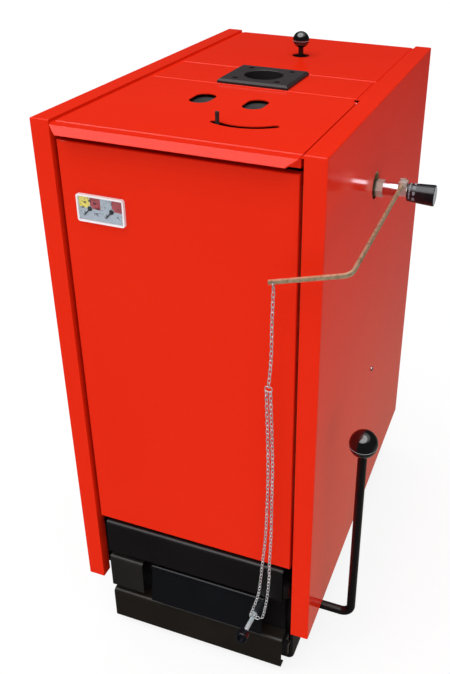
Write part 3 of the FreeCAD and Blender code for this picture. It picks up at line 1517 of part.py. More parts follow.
def ball(name, radius, neck, depth):
    """Ball knob: sphere with a fine parting ring and a socket for its bar."""
    size = value(radius)
    sphere = Part.makeSphere(size)
    groove_z = -size * math.sin(math.radians(10))
    groove = Part.makeTorus(math.sqrt(size ** 2 - groove_z ** 2), value("ball_ring"), Vector(0, 0, groove_z))
    socket = Part.makeCylinder(value(neck), 2 * size, Vector(0, 0, -depth - 2 * size))
    flat = Part.makeBox(4 * size, 4 * size, size, Vector(-2 * size, -2 * size, -size * 1.94))
    return plain(name, sphere.cut([groove, socket, flat]).removeSplitter())


lever_ball = ball("lever_ball_shape", "lever_ball", "lever_radius", value("lever_ball") * 0.4)
lever_top = f"({lever_z} + lever_rise)"
node("lever_ball", place(lever_ball, lever_x, lever_y, f"{lever_top} + lever_ball * 0.4"))


def grate():
    """Rocking grate: slotted plate on trunnions, with its rocker arm."""
    body = new_body("grate_body")
    reach = f"({shaft_half} - grate_gap)"
    deep = "(shaft_depth / 2 - grate_gap)"
    plate = outline(sketch(body, "grate_plan", "XY_Plane"),
                    [(f"-{reach}", f"-{deep}"), (reach, f"-{deep}"), (reach, deep), (f"-{reach}", deep)])
    pad(body, plate, "grate_thick")
    start = f"(-{reach} + grate_rim)"
    slot = outline(sketch(body, "grate_slot", "XY_Plane", "-grate_thick"), [
        (start, f"-{deep} + grate_rim"), (f"{start} + grate_slot", f"-{deep} + grate_rim"),
        (f"{start} + grate_slot", f"{deep} - grate_rim"), (start, f"{deep} - grate_rim")])
    cutter = pocket(body, slot, back=True)
    pitch = value("grate_slot + grate_bar")
    count = int((value(f"2 * {reach} - 2 * grate_rim") + value("grate_bar")) / pitch)
    pattern = body.newObject("PartDesign::LinearPattern", "grate_slots")
    pattern.Originals = [cutter]
    pattern.Direction = axis_of(body, "X_Axis")
    pattern.Length = pitch * (count - 1)
    pattern.Occurrences = count
    body.Tip = pattern
    place(body, "0", grate_y, grate_z)
    doc.recompute()
    rocker_x = f"({crank_x} - crank_thick)"
    shaft = rod("trunnion", "x", (grate_y, grate_z),
                (f"-{bearing_low} - bearing_thick", rocker_x), "trunnion_radius")
    rocker = plain("rocker", crank_plate(value(rocker_x), point("0", grate_y, grate_z),
                                         value("trunnion_radius + crank_wrap")))
    return node("grate", fuse("grate_fused", body, shaft, rocker))


grate()


def grate_link():
    """Flat link between the lever's crank pin and the rocker pin."""
    low = point(f"{crank_x} + face_gap", f"{lever_y} + crank_length", lever_z)
    high = point(f"{crank_x} + face_gap", f"{grate_y} + crank_length", grate_z)
    thick = value("link_thick")
    wide = value("link_pin + crank_wrap")
    along = Vector(1, 0, 0)
    run = high - low
    bar = Part.makeBox(thick, 2 * wide, run.Length)
    bar.translate(Vector(0, -wide, 0))
    bar.Placement = Placement(low, Rotation(Vector(0, 0, 1), run)).multiply(Placement(bar.Placement))
    ends = [Part.makeCylinder(wide, thick, spot, along) for spot in (low, high)]
    bores = [Part.makeCylinder(value("link_pin + fit_gap"), 3 * thick, low - along * thick, along),
             Part.makeCylinder(value("link_pin + link_clear"), 3 * thick, high - along * thick, along)]
    return node("grate_link", plain("link_bar", bar.fuse(ends).cut(bores).removeSplitter()))


grate_link()


# ash pan on the base plate


def ash_pan():
    y = (back("pan_setback"), back("pan_setback + pan_depth"))
    z = ("base_thick", "base_thick + pan_tall")
    outer = box("pan_outer", ("-pan_half", "pan_half"), y, z)
    inner = box("pan_inner", ("-pan_half + pan_wall", "pan_half - pan_wall"),
                (f"{y[0]} + pan_wall", f"{y[1]} - pan_wall"), (f"{z[0]} + pan_wall", f"{z[1]} + pan_wall"))
    grip = box("pan_lip", ("-pan_half / 3", "pan_half / 3"), (f"{y[0]} - pan_grip", y[0]),
               (f"{z[1]} - pan_wall", z[1]))
    return node("ash_pan", fuse("pan_fused", cut("pan_cut", outer, inner), grip))


ash_pan()


# pull rod and the flue damper that it turns

bar_rest_y = f"({flue_axle_y} + flue_flap_arm * cos(flue_flap_angle))"
bar_rest_z = f"({flue_axle_z} - flue_flap_arm * sin(flue_flap_angle))"


def pull_rod():
    slot_low = f"({bar_rest_y} - flue_bar - eye_clear)"
    slot_high = f"({flue_axle_y} + flue_flap_arm + flue_bar + eye_clear)"
    slot_z = (f"{bar_rest_z} - flue_bar - eye_clear", f"{bar_rest_z} + flue_bar + eye_clear")
    eye = box("rod_eye", ("-eye_plate / 2", "eye_plate / 2"),
              (f"{slot_low} - eye_wrap", f"{slot_high} + eye_wrap"),
              (f"{slot_z[0]} - eye_wrap", f"{slot_z[1]} + eye_wrap"))
    slot = box("rod_slot", ("-eye_plate", "eye_plate"), (slot_low, slot_high), slot_z)
    bar = rod("rod_bar", "z", ("0", rod_y),
              (f"{slot_z[1]} + eye_wrap / 2", f"{plate_top} + rod_ball_rise - rod_ball * 0.4"), "rod_radius")
    node("pull_rod", cut("rod_cut", fuse("rod_fused", eye, bar), slot))
    knob = ball("rod_ball_shape", "rod_ball", "rod_radius", value("rod_ball") * 0.4)
    node("rod_ball", place(knob, "0", rod_y, f"{plate_top} + rod_ball_rise"))


pull_rod()


def flue_damper():
    """Blade on an axle with a fork and cross bar, stored with the rod pushed down."""
    axle = point("0", flue_axle_y, flue_axle_z)
    along = Vector(1, 0, 0)
    wide = value("flue_flap_half")
    reach = value("flue_flap_half + fork_thick + lug_thick")
    thick = value("flue_flap_thick")
    arm = value("flue_flap_arm")
    shaft = Part.makeCylinder(value("flue_axle"), 2 * reach, axle - along * reach, along)
    blade = Part.makeBox(2 * wide, value("flue_flap_length"), thick,
                         axle + Vector(-wide, -value("flue_flap_length"), -thick / 2))
    fork = value("fork_thick")
    inner = value("eye_plate / 2 + eye_clear")
    wrap = value("flue_bar + eye_clear")
    parts = [blade]
    for low in (-inner - fork, inner):
        parts.append(Part.makeBox(fork, arm, 2 * wrap, axle + Vector(low, 0, -wrap)))
        parts.append(Part.makeCylinder(wrap, fork, axle + Vector(low, arm, 0), along))
    bar = axle + Vector(-inner - fork, arm, 0)
    parts.append(Part.makeCylinder(value("flue_bar"), 2 * (inner + fork), bar, along))
    shape = shaft.fuse(parts).removeSplitter()
    return node("flue_damper", plain("damper_blade", shape.rotate(axle, along, -value("flue_flap_angle"))))


flue_damper()


# chain: wire rings and interlocked links that hang from the arm to the flap's bolt

BEND_STEPS = 3
# share of the drop from arm to bolt, and how far each strand sways to the right there
SINGLE_SWAY = ((0.1, 1.6), (0.18, 3.6))
JOIN_SWAY = (0.256, 2.3)
LEFT_SWAY = ((0.46, 9.6), (0.61, 13.5), (0.71, 14.1), (0.79, 12), (0.85, 10.7), (0.91, 7.8))
RIGHT_SWAY = ((0.46, 17.2), (0.6, 21.3), (0.7, 24.2), (0.78, 24.8), (0.84, 26.3), (0.91, 25.2), (0.96, 22),
              (0.99, 17.5))


def oval(wide, tall, corner):
    """Flat-sided outline of a rectangle with round corners, in the XZ plane about the origin."""
    spots = []
    for quarter, (right, up) in enumerate(((1, 1), (-1, 1), (-1, -1), (1, -1))):
        centre = Vector(right * (wide / 2 - corner), 0, up * (tall / 2 - corner))
        for step in range(BEND_STEPS + 1):
            turn = math.radians(90 * (quarter + step / BEND_STEPS))
            spots.append(centre + Vector(corner * math.cos(turn), 0, corner * math.sin(turn)))
    trimmed = [spot for spot, last in zip(spots, spots[-1:] + spots) if spot.distanceToPoint(last) > 1e-4]
    return Part.makePolygon(trimmed + trimmed[:1])


def wire_loop(wire, wide, tall, corner):
    """Closed link of square wire, in its own XZ plane about the origin; corner is its bend at mid wire."""
    outer = oval(wide, tall, corner + wire / 2)
    inner = oval(wide - 2 * wire, tall - 2 * wire, corner - wire / 2)
    loop = Part.makeFace([outer, inner], "Part::FaceMakerBullseye").extrude(Vector(0, wire, 0))
    loop.translate(Vector(0, -wire / 2, 0))
    return loop


def strand(route):
    """An odd number of links shared evenly along a smooth route, each a quarter turn from the last."""
    curve = Part.BSplineCurve()
    curve.interpolate(route)
    path = curve.toShape()
    count = int(path.Length / value("link_pitch")) // 2 * 2 + 1
    pitch = path.Length / count
    wire = value("link_wire")
    wide = value("link_width")
    loop = wire_loop(wire, wide, pitch + 2 * wire + value("face_gap"), (wide - wire) / 2)
    links = []
    for index in range(count):
        at = path.getParameterByLength((index + 0.5) * pitch)
        along = Rotation(Vector(0, 0, -1), path.tangentAt(at))
        roll = Rotation(Vector(0, 0, 1), 90 * ((index + 1) % 2))
        link = loop.copy()
        link.Placement = Placement(path.valueAt(at), along.multiply(roll))
        links.append(link)
    return links


def chain():
    """Hook in the arm's eye, single strand, ring, two strands, and a ring in the bolt's eye."""
    hang = arm_eye
    bolt_eye = swung(Part.Vertex(point(bolt_x, f"{bolt_root} - bolt_eye", bolt_z))).Point
    wire = value("hook_wire")
    drop = Vector(0, 0, value("hook_drop"))
    seat = Vector(0, 0, wire / 2)
    gap = Vector(value("strand_gap"), 0, 0)
    corner = value("hook_corner")

    def along_drop(share, sway):
        return hang + (bolt_eye - hang) * share + Vector(sway, 0, 0)

    def hook(top, wide, across):
        shape = wire_loop(wire, value(wide), drop.z + wire, corner)
        shape.Placement = Placement(top - drop / 2, Rotation(Vector(1, 0, 0), across))
        return shape

    join = along_drop(*JOIN_SWAY)
    hooks = [hook(hang, "arm_hook_width", eye_axis), hook(join, "join_width", Vector(1, 0, 0)),
             hook(bolt_eye + drop, "bolt_ring_width", Vector(1, 0, 0))]
    single = [hang - drop + seat] + [along_drop(*spot) for spot in SINGLE_SWAY] + [join - seat]
    low, high = join - drop + seat, bolt_eye + drop - seat
    left = [low - gap] + [along_drop(*spot) for spot in LEFT_SWAY] + [high - gap]
    side_leg = bolt_eye + point("bolt_ring_width / 2 - hook_wire", "0", "bolt_radius")
    right = [low + gap] + [along_drop(*spot) for spot in RIGHT_SWAY] + [side_leg]
    links = strand(single) + strand(left) + strand(right)
    return node("chain", plain("chain_links", Part.Compound(hooks + links)))


chain()


# screws of the casing


def casing_screws():
    """Round-headed screws: one in each side panel and a column up each edge of the rear panel."""
    screws = []
    for sign in (-1, 1):
        across = mirror_pair(sign, f"{half} - screw_length", half)
        outside = mirror_pair(sign, half, f"{half} + screw_rise")
        at = (back("side_screw_setback"), "side_screw_height")
        screws.append(fuse(f"side_screw_{sign + 1}",
                           rod(f"side_shank_{sign + 1}", "x", at, across, "screw_shank"),
                           rod(f"side_head_{sign + 1}", "x", at, outside, "screw_head")))
    return node("casing_screws", group("screws", *screws))


casing_screws()

doc.recompute()
for thing in doc.Objects:
    if "Invalid" in thing.State or "Error" in thing.State:
        raise RuntimeError(f"{thing.Label} failed: {thing.State}")
for thing in nodes:
    if thing.Shape.isNull() or not thing.Shape.isValid():
        raise RuntimeError(f"{thing.Label} is not a valid shape")
os.makedirs("parts", exist_ok=True)
for thing in nodes:
    thing.Shape.exportStep(f"parts/{thing.Label}.step")
print(len(nodes), "sub-parts written")
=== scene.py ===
import math

import bpy
from mathutils import Euler, Matrix, Vector


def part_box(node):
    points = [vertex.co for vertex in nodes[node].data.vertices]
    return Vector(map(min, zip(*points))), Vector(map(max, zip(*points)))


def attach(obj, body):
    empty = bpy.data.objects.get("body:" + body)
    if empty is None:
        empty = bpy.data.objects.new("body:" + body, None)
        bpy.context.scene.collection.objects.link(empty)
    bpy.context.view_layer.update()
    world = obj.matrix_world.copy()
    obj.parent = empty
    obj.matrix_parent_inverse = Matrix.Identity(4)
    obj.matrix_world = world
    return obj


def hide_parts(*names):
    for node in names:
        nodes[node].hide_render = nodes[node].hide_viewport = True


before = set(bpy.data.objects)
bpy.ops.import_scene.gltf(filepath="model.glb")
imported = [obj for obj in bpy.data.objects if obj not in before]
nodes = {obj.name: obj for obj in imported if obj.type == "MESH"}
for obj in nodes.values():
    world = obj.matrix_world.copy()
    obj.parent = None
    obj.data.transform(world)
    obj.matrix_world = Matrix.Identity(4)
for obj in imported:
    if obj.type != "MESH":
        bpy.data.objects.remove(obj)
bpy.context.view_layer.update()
mm = 0.001
print("frame loaded:", len(nodes), "nodes")


class Signal:  # one socket of a node tree; arithmetic on it adds Math nodes
    def __init__(self, tree, socket=None):
        self.tree, self.socket = tree, socket

    def add(self, kind, settings=None, inputs=None, out=0):
        node = self.tree.nodes.new(kind)
        for key, setting in (settings or {}).items():
            setattr(node, key, setting)
        for key, given in (inputs or {}).items():
            if isinstance(given, Signal):
                self.tree.links.new(given.socket, node.inputs[key])
            else:
                node.inputs[key].default_value = given
        return Signal(self.tree, node.outputs[out] if node.outputs else None)

    def other(self, name):
        return Signal(self.tree, self.socket.node.outputs[name])

    def maths(self, operation, *values):
        return self.add("ShaderNodeMath", {"operation": operation}, dict(enumerate(values)))

    def mix(self, factor, first, second):
        return self.add("ShaderNodeMix", {"data_type": "RGBA"}, {0: factor, 6: first, 7: second}, 2)

    def __add__(self, other):
        return self.maths("ADD", self, other)

    def __radd__(self, other):
        return self.maths("ADD", other, self)

    def __sub__(self, other):
        return self.maths("SUBTRACT", self, other)

    def __rsub__(self, other):
        return self.maths("SUBTRACT", other, self)

    def __mul__(self, other):
        return self.maths("MULTIPLY", self, other)

    def __rmul__(self, other):
        return self.maths("MULTIPLY", other, self)

    def __truediv__(self, other):
        return self.maths("DIVIDE", self, other)

    def __rtruediv__(self, other):
        return self.maths("DIVIDE", other, self)

    def __mod__(self, other):
        return self.maths("MODULO", self, other)

    def __rmod__(self, other):
        return self.maths("MODULO", other, self)


def paint(text):  # hex as it looks on screen, to linear RGBA
    parts = [int(text[i:i + 2], 16) / 255 for i in (0, 2, 4)]
    return [c / 12.92 if c < 0.04045 else ((c + 0.055) / 1.055) ** 2.4 for c in parts] + [1.0]


# finishes

finishes = {}


def startFinish(name, constants):
    material = bpy.data.materials.new(name)
    material.use_nodes = True
    shader = material.node_tree.nodes["Principled BSDF"]
    for key, value in constants.items():
        shader.inputs[key].default_value = value
    finishes[name] = material
    root = Signal(material.node_tree)
    return root, root.add("ShaderNodeTexCoord", out="Object")


def feed(root, links):
    shader = root.tree.nodes["Principled BSDF"]
    for key, signal in links.items():
        root.tree.links.new(signal.socket, shader.inputs[key])


def grain(place, scale, detail=2.0, roughness=0.5):
    return place.add("ShaderNodeTexNoise", None,
                     {"Vector": place, "Scale": scale, "Detail": detail, "Roughness": roughness})


def stretched(place, scale):  # the grain runs along the axis that is scaled least
    return place.add("ShaderNodeMapping", None, {"Vector": place, "Scale": scale})


def along(place, axis):
    return place.add("ShaderNodeSeparateXYZ", None, {0: place}, axis)


def bump(height, strength, depth, under=None):
    inputs = {"Strength": strength, "Distance": depth, "Height": height}
    if under:
        inputs["Normal"] = under
    return height.add("ShaderNodeBump", None, inputs)


def band(signal, low, high):  # 0 below low, 1 above high
    return signal.add("ShaderNodeMapRange", {"interpolation_type": "SMOOTHSTEP"},
                      {"Value": signal, "From Min": low, "From Max": high})


def makePaint(name, p):
    # stoved paint: faint cloudiness, orange peel and the slow wave of thin sheet
    root, place = startFinish(name, {"IOR": p["ior"]})
    cloud = grain(place, p["cloudScale"], detail=3.0)
    speck = grain(place, p["peelScale"])
    base = root.mix(cloud, paint(p["deep"]), paint(p["bright"]))
    wave = bump(grain(place, p["waveScale"], detail=1.0), p["waveStrength"], p["waveDepth"])
    peel = bump(speck, p["peelStrength"], p["peelDepth"], wave)
    feed(root, {"Base Color": base, "Roughness": p["rough"] + p["roughSpread"] * speck,
                "Normal": peel})


redCoat = {"deep": "de2209", "bright": "e82d12", "cloudScale": 2.2, "peelScale": 620.0,
           "waveScale": 3.2, "waveStrength": 0.35, "waveDepth": 1.2 * mm, "peelStrength": 0.12,
           "peelDepth": 0.06 * mm, "rough": 0.1, "roughSpread": 0.06, "ior": 1.3}
blackCoat = {"deep": "0f0c0d", "bright": "191516", "cloudScale": 9.0, "peelScale": 900.0,
             "waveScale": 6.0, "waveStrength": 0.15, "waveDepth": 0.6 * mm, "peelStrength": 0.25,
             "peelDepth": 0.1 * mm, "rough": 0.28, "roughSpread": 0.16, "ior": 1.45}
gripCoat = dict(blackCoat, deep="1d1a19", bright="2a2524")
flapCoat = dict(blackCoat, deep="0b0c10", bright="121319", rough=0.3)
# brownish black: a painted reflection of a brown floor, for the lower band and base plate
skirtReflectCoat = dict(blackCoat, deep="1a1611", bright="261f18", rough=0.3)
flangeCoat = dict(blackCoat, deep="211c1e", bright="30292b", rough=0.42)
makePaint("redPaint", redCoat)
makePaint("blackPaint", blackCoat)
makePaint("gripPaint", gripCoat)
makePaint("flapPaint", flapCoat)
makePaint("skirtReflectPaint", skirtReflectCoat)
makePaint("flangePaint", flangeCoat)


def makeMetal(name, p):
    # bare or plated metal: fine lines, drawn where "pull" is uneven, soft spangle, dulled patches
    root, place = startFinish(name, {"Metallic": p["metallic"]})
    lines = grain(stretched(place, p["pull"]), p["lineScale"], detail=3.0, roughness=0.6)
    spangle = place.add("ShaderNodeTexVoronoi", None,
                        {"Vector": place, "Scale": p["spangleScale"]}, "Color")
    dull = grain(place, p["dullScale"], detail=4.0, roughness=0.6)
    shade = root.add("ShaderNodeSeparateColor", None, {"Color": spangle})
    base = root.mix(band(dull, *p["dullBand"]), paint(p["bright"]), paint(p["dull"]))
    base = root.mix(p["spangle"] * shade, base, paint(p["fleck"]))
    rough = p["rough"] + p["roughSpread"] * dull + p["lineRough"] * lines
    feed(root, {"Base Color": base, "Roughness": rough,
                "Normal": bump(lines, p["lineStrength"], p["lineDepth"])})


brightZinc = {"pull": (1, 1, 1), "lineScale": 1500.0, "spangleScale": 240.0, "dullScale": 90.0,
              "dullBand": (0.35, 0.7), "bright": "d8dadc", "dull": "a9abad", "fleck": "eceef0",
              "spangle": 0.4, "rough": 0.22, "roughSpread": 0.2, "lineRough": 0.06,
              "lineStrength": 0.1, "lineDepth": 0.04 * mm, "metallic": 1.0}
chainZinc = dict(brightZinc, bright="e8eaec", dull="b4b6b8", fleck="f6f7f8", rough=0.14,
                 roughSpread=0.12, metallic=0.6)
paleZinc = dict(brightZinc, bright="d3dfe4", dull="b9c6cc", fleck="e4ecef", rough=0.3, metallic=0.3)
clampZinc = dict(brightZinc, bright="e2ded8", dull="b9b4ac", fleck="f0ede8", rough=0.18,
                 metallic=0.55)
yellowZinc = dict(brightZinc, bright="d8c59c", dull="a48f69", fleck="efe4c8", spangle=0.5,
                  rough=0.2, dullScale=120.0, metallic=0.7)
sheetSteel = dict(brightZinc, bright="7c787a", dull="585457", fleck="8d898b", rough=0.4,
                  roughSpread=0.25, pull=(1, 14, 14), lineScale=120.0, spangleScale=60.0,
                  dullScale=25.0)
makeMetal("brightZinc", brightZinc)
makeMetal("chainZinc", chainZinc)
makeMetal("paleZinc", paleZinc)
makeMetal("clampZinc", clampZinc)
makeMetal("yellowZinc", yellowZinc)
makeMetal("sheetSteel", sheetSteel)


def makePlatedBody(name, p):
    # dull hexagon with painted shade where it stands in the casing's hole, then a mirror-bright
    # neck along X
    root, place = startFinish(name, {})
    across = along(place, "X")
    neck = band(across, *p["neckEdge"])
    smear = grain(place, p["smearScale"], detail=4.0, roughness=0.6)
    hexagon = root.mix(smear, paint(p["hexDeep"]), paint(p["hexBright"]))
    # painted shade: the hexagon turns dark olive where it sits inside the casing wall's hole
    hexagon = root.mix(band(across, *p["wall"]), paint(p["shadeInWall"]), hexagon)
    gloss = p["hexRough"] - (p["hexRough"] - p["neckRough"]) * neck
    feed(root, {"Base Color": root.mix(neck, hexagon, paint(p["neck"])),
                "Metallic": p["hexMetal"] + (1.0 - p["hexMetal"]) * neck,
                "Roughness": gloss + p["roughSpread"] * smear,
                "Normal": bump(grain(place, p["pitScale"]), p["pit"], p["pitDepth"])})


# shadeInWall is painted shade, the dark olive of the hexagon inside the casing's hole
platedBody = {"neckEdge": (244.0 * mm, 244.2 * mm), "wall": (230.0 * mm, 235.0 * mm),
              "hexDeep": "b8aea2", "hexBright": "dad2c6", "shadeInWall": "4b4636", "neck": "e9e3ee",
              "hexMetal": 0.5, "hexRough": 0.34, "neckRough": 0.12, "roughSpread": 0.12,
              "smearScale": 140.0, "pitScale": 900.0, "pit": 0.08, "pitDepth": 0.04 * mm}
makePlatedBody("platedBody", platedBody)


def makeScaledSteel(name, p):
    # hot-rolled plate or casting: blue-black scale, rust bloom, coarse skin
    root, place = startFinish(name, {"Metallic": p["metallic"]})
    patch = grain(place, p["patchScale"], detail=6.0, roughness=0.62)
    skin = grain(place, p["skinScale"], detail=3.0, roughness=0.6)
    rust = band(grain(place, p["rustScale"], detail=5.0, roughness=0.7), *p["rustBand"])
    base = root.mix(band(patch, *p["patchBand"]), paint(p["dark"]), paint(p["light"]))
    base = root.mix(rust * p["rust"], base, paint(p["bloom"]))
    feed(root, {"Base Color": base, "Roughness": p["rough"] + p["roughSpread"] * patch,
                "Normal": bump(skin, p["skin"], p["skinDepth"])})


boilerPlate = {"dark": "232427", "light": "3b3a3b", "bloom": "5b3d2a", "rust": 0.35,
               "patchScale": 14.0, "patchBand": (0.3, 0.7), "rustScale": 7.0,
               "rustBand": (0.58, 0.74), "skinScale": 260.0, "skin": 0.12, "skinDepth": 0.4 * mm,
               "rough": 0.5, "roughSpread": 0.3, "metallic": 0.35}
grateIron = dict(boilerPlate, dark="1d1c1c", light="343130", bloom="5a3a28", rust=0.5,
                 patchScale=30.0, rustScale=22.0, skinScale=420.0, skin=0.5, metallic=0.2)
makeScaledSteel("boilerPlate", boilerPlate)
makeScaledSteel("grateIron", grateIron)


def makeMoulded(name, p):
    # moulded plastic: faint mould texture and handling marks in the gloss
    root, place = startFinish(name, {"IOR": p["ior"]})
    smear = grain(place, p["smearScale"], detail=4.0, roughness=0.6)
    pits = grain(place, p["pitScale"])
    feed(root, {"Base Color": root.mix(smear, paint(p["deep"]), paint(p["bright"])),
                "Roughness": p["rough"] + p["roughSpread"] * smear,
                "Normal": bump(pits, p["pit"], p["pitDepth"])})


ballPlastic = {"deep": "0b0b0c", "bright": "141416", "smearScale": 45.0, "rough": 0.05,
               "roughSpread": 0.08, "pitScale": 700.0, "pit": 0.08, "pitDepth": 0.05 * mm,
               "ior": 1.8}
knobPlastic = dict(ballPlastic, deep="0d0e13", bright="171920", rough=0.18, ior=1.55)
bezelPlastic = dict(ballPlastic, deep="ece6e9", bright="f8f3f5", rough=0.25, ior=1.49)
capPlastic = dict(ballPlastic, deep="a9adb3", bright="c6c9ce", rough=0.3, ior=1.49)
markInk = dict(ballPlastic, deep="aab2bd", bright="c2c9d2", rough=0.45, ior=1.49)
makeMoulded("ballPlastic", ballPlastic)
makeMoulded("knobPlastic", knobPlastic)
makeMoulded("bezelPlastic", bezelPlastic)
makeMoulded("capPlastic", capPlastic)
makeMoulded("markInk", markInk)


def makePrint(name, p):
    # printed card: paper tooth and a slightly uneven ink
    root, place = startFinish(name, {"IOR": p["ior"]})
    tooth = grain(place, p["toothScale"], detail=3.0)
    uneven = grain(place, p["inkScale"], detail=3.0)
    base = root.mix(uneven, paint(p["deep"]), paint(p["bright"]))
    if p["studEdge"]:  # the needle studs, in front of the card, are black
        ahead = 0.0 - along(place, "Y")
        base = root.mix(band(ahead, *p["studEdge"]), base, paint(p["stud"]))
    feed(root, {"Base Color": base, "Roughness": p["rough"] + p["roughSpread"] * tooth,
                "Normal": bump(tooth, p["tooth"], p["toothDepth"])})


cardPrint = {"deep": "9aa6b3", "bright": "b2bcc6", "studEdge": (368.1 * mm, 368.2 * mm),
             "stud": "101012", "inkScale": 160.0, "toothScale": 1400.0, "tooth": 0.1,
             "toothDepth": 0.03 * mm, "rough": 0.42, "roughSpread": 0.2, "ior": 1.4}
yellowPrint = dict(cardPrint, deep="dcc84a", bright="eadb6c", studEdge=None)
redPrint = dict(cardPrint, deep="9a2d38", bright="b03f46", studEdge=None)
inkPrint = dict(cardPrint, deep="0b0b0d", bright="17171b", studEdge=None)
makePrint("dialCard", cardPrint)
makePrint("dialYellow", yellowPrint)
makePrint("dialRed", redPrint)
makePrint("dialInk", inkPrint)


def makeWindow(name, p):
    root, place = startFinish(name, {"IOR": p["ior"], "Base Color": paint(p["tint"])})
    haze = grain(place, p["hazeScale"], detail=4.0)
    feed(root, {"Roughness": p["rough"] + p["roughSpread"] * haze,
                "Alpha": p["alpha"] + p["alphaSpread"] * haze})


clearWindow = {"tint": "dfe6ee", "hazeScale": 70.0, "rough": 0.04, "roughSpread": 0.08,
               "alpha": 0.015, "alphaSpread": 0.02, "ior": 1.49}
makeWindow("clearWindow", clearWindow)


def makeSealCord(name, p):
    # braided heat-proof cord: two crossing sets of strands
    root, place = startFinish(name, {})
    strands = [place.add("ShaderNodeTexWave", {"bands_direction": "DIAGONAL"},
                         {"Vector": stretched(place, (1, side, 1)), "Scale": p["strandScale"],
                          "Distortion": p["strandBend"]}, "Fac")
               for side in (1, -1)]
    weave = strands[0].maths("MAXIMUM", strands[0], strands[1])
    base = root.mix(weave, paint(p["deep"]), paint(p["bright"]))
    grime = band(grain(place, p["grimeScale"], detail=4.0), *p["grimeBand"])
    feed(root, {"Base Color": root.mix(grime, base, paint(p["grime"])),
                "Roughness": p["rough"] + p["roughSpread"] * weave,
                "Normal": bump(weave, p["weave"], p["weaveDepth"])})


sealCord = {"deep": "8b8577", "bright": "c9c3b4", "grime": "6c6458", "strandScale": 170.0,
            "strandBend": 1.5, "grimeScale": 30.0, "grimeBand": (0.5, 0.8), "weave": 0.6,
            "weaveDepth": 0.6 * mm, "rough": 0.8, "roughSpread": 0.15}
makeSealCord("sealCord", sealCord)


def makeWool(name, p):
    # mineral wool, with painted shade (near black) round the pull rod's hole and low down behind
    # the ash door's gaps
    root, place = startFinish(name, {})
    fibre = grain(stretched(place, p["pull"]), p["fibreScale"], detail=6.0, roughness=0.7)
    base = root.mix(fibre, paint(p["deep"]), paint(p["bright"]))
    low, high = (Vector(corner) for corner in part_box("rod_ball"))
    away = root.add("ShaderNodeVectorMath", {"operation": "SUBTRACT"},
                    {0: place, 1: (low + high) / 2})
    flat = root.add("ShaderNodeVectorMath", {"operation": "MULTIPLY"}, {0: away, 1: (1, 1, 0)})
    distance = root.add("ShaderNodeVectorMath", {"operation": "LENGTH"}, {0: flat}, "Value")
    # painted shade: the wool turns near black round the pull rod's hole and below the ash door's
    # height
    unshaded = band(distance, *p["rodShadeEdge"]) * band(along(place, "Z"), *p["ashShadeEdge"])
    feed(root, {"Base Color": root.mix(unshaded, paint(p["paintedShade"]), base),
                "Roughness": p["rough"] + p["roughSpread"] * fibre,
                "Normal": bump(fibre, p["fibre"], p["fibreDepth"])})


# the near-black colour here is painted shade for the rod's hole and the ash door's gaps
mineralWool = {"deep": "8d7b4e", "bright": "c8b98a", "paintedShade": "0e0a08", "pull": (1, 1, 9),
               "fibreScale": 160.0, "fibre": 0.8, "fibreDepth": 2.0 * mm, "rough": 0.85,
               "roughSpread": 0.1, "rodShadeEdge": (22.0 * mm, 40.0 * mm),
               "ashShadeEdge": (330.0 * mm, 420.0 * mm)}
makeWool("mineralWool", mineralWool)
print("finishes:", len(finishes))

# finishes on the frame's own pieces
dressing = {
    "redPaint": ["left_side_panel", "right_side_panel", "front_panel", "middle_top_strip",
                 "rear_top_cover", "rear_panel", "lid_cover"],
    "blackPaint": ["ash_door_leaf", "upper_band", "ash_door_frame", "ash_hinge_brackets",
                   "grate_lever", "flue_outlet", "return_flange", "drain_socket", "pull_rod"],
    "gripPaint": ["grip_plate"],
    "flapPaint": ["air_flap"],
    "skirtReflectPaint": ["lower_band", "base_plate"],
    "flangePaint": ["flow_flange"],
    "boilerPlate": ["outer_side_plates", "outer_end_plates", "inner_plates", "partition",
                    "jacket_floor", "flue_ceiling", "vessel_top", "loading_collar", "flue_damper",
                    "ash_pan", "grate_link", "lever_bush", "rod_guide", "air_damper"],
    "grateIron": ["grate"],
    "sheetSteel": ["lid_shield"],
    "brightZinc": ["casing_screws", "chain", "lid_hinge_brackets"],
    "clampZinc": ["arm_clamp"],
    "paleZinc": ["flap_bolt"],
    "yellowZinc": ["regulator_arm"],
    "platedBody": ["regulator_body"],
    "ballPlastic": ["lever_ball", "rod_ball"],
    "knobPlastic": ["regulator_knob", "flap_cap"],
    "bezelPlastic": ["gauge_housing"],
    "dialCard": ["gauge_dial"],
    "dialInk": ["temperature_needle", "pressure_needle"],
    "clearWindow": ["gauge_window"],
    "sealCord": ["lid_seal", "ash_door_seal"],
    "mineralWool": ["side_insulation", "front_insulation", "rear_insulation", "top_insulation"],
}
for finish, members in dressing.items():
    for member in members:
        slots = nodes[member].material_slots
        if not slots:
            nodes[member].data.materials.append(finishes[finish])
        for holder in slots:
            holder.material = finishes[finish]
left = set(nodes) - {member for members in dressing.values() for member in members}
print("nodes without a finish:", sorted(left))


# pieces grown by geometry nodes

def startTree(name, sizes):
    tree = bpy.data.node_groups.new(name, "GeometryNodeTree")
    tree.is_modifier = True
    kinds = {"Geometry": "NodeSocketGeometry", **{size: "NodeSocketFloat" for size in sizes},
             "Finish": "NodeSocketMaterial"}
    for label, kind in kinds.items():
        tree.interface.new_socket(label, in_out="INPUT", socket_type=kind)
    tree.interface.new_socket("Geometry", in_out="OUTPUT", socket_type="NodeSocketGeometry")
    root = Signal(tree)
    return root, root.add("NodeGroupInput")


def endTree(geometry, given):
    real = geometry.add("GeometryNodeRealizeInstances", None, {"Geometry": geometry})
    done = real.add("GeometryNodeSetMaterial", None,
                    {"Geometry": real, "Material": given.other("Finish")})
    done.add("NodeGroupOutput", None, {"Geometry": done})
    return geometry.tree


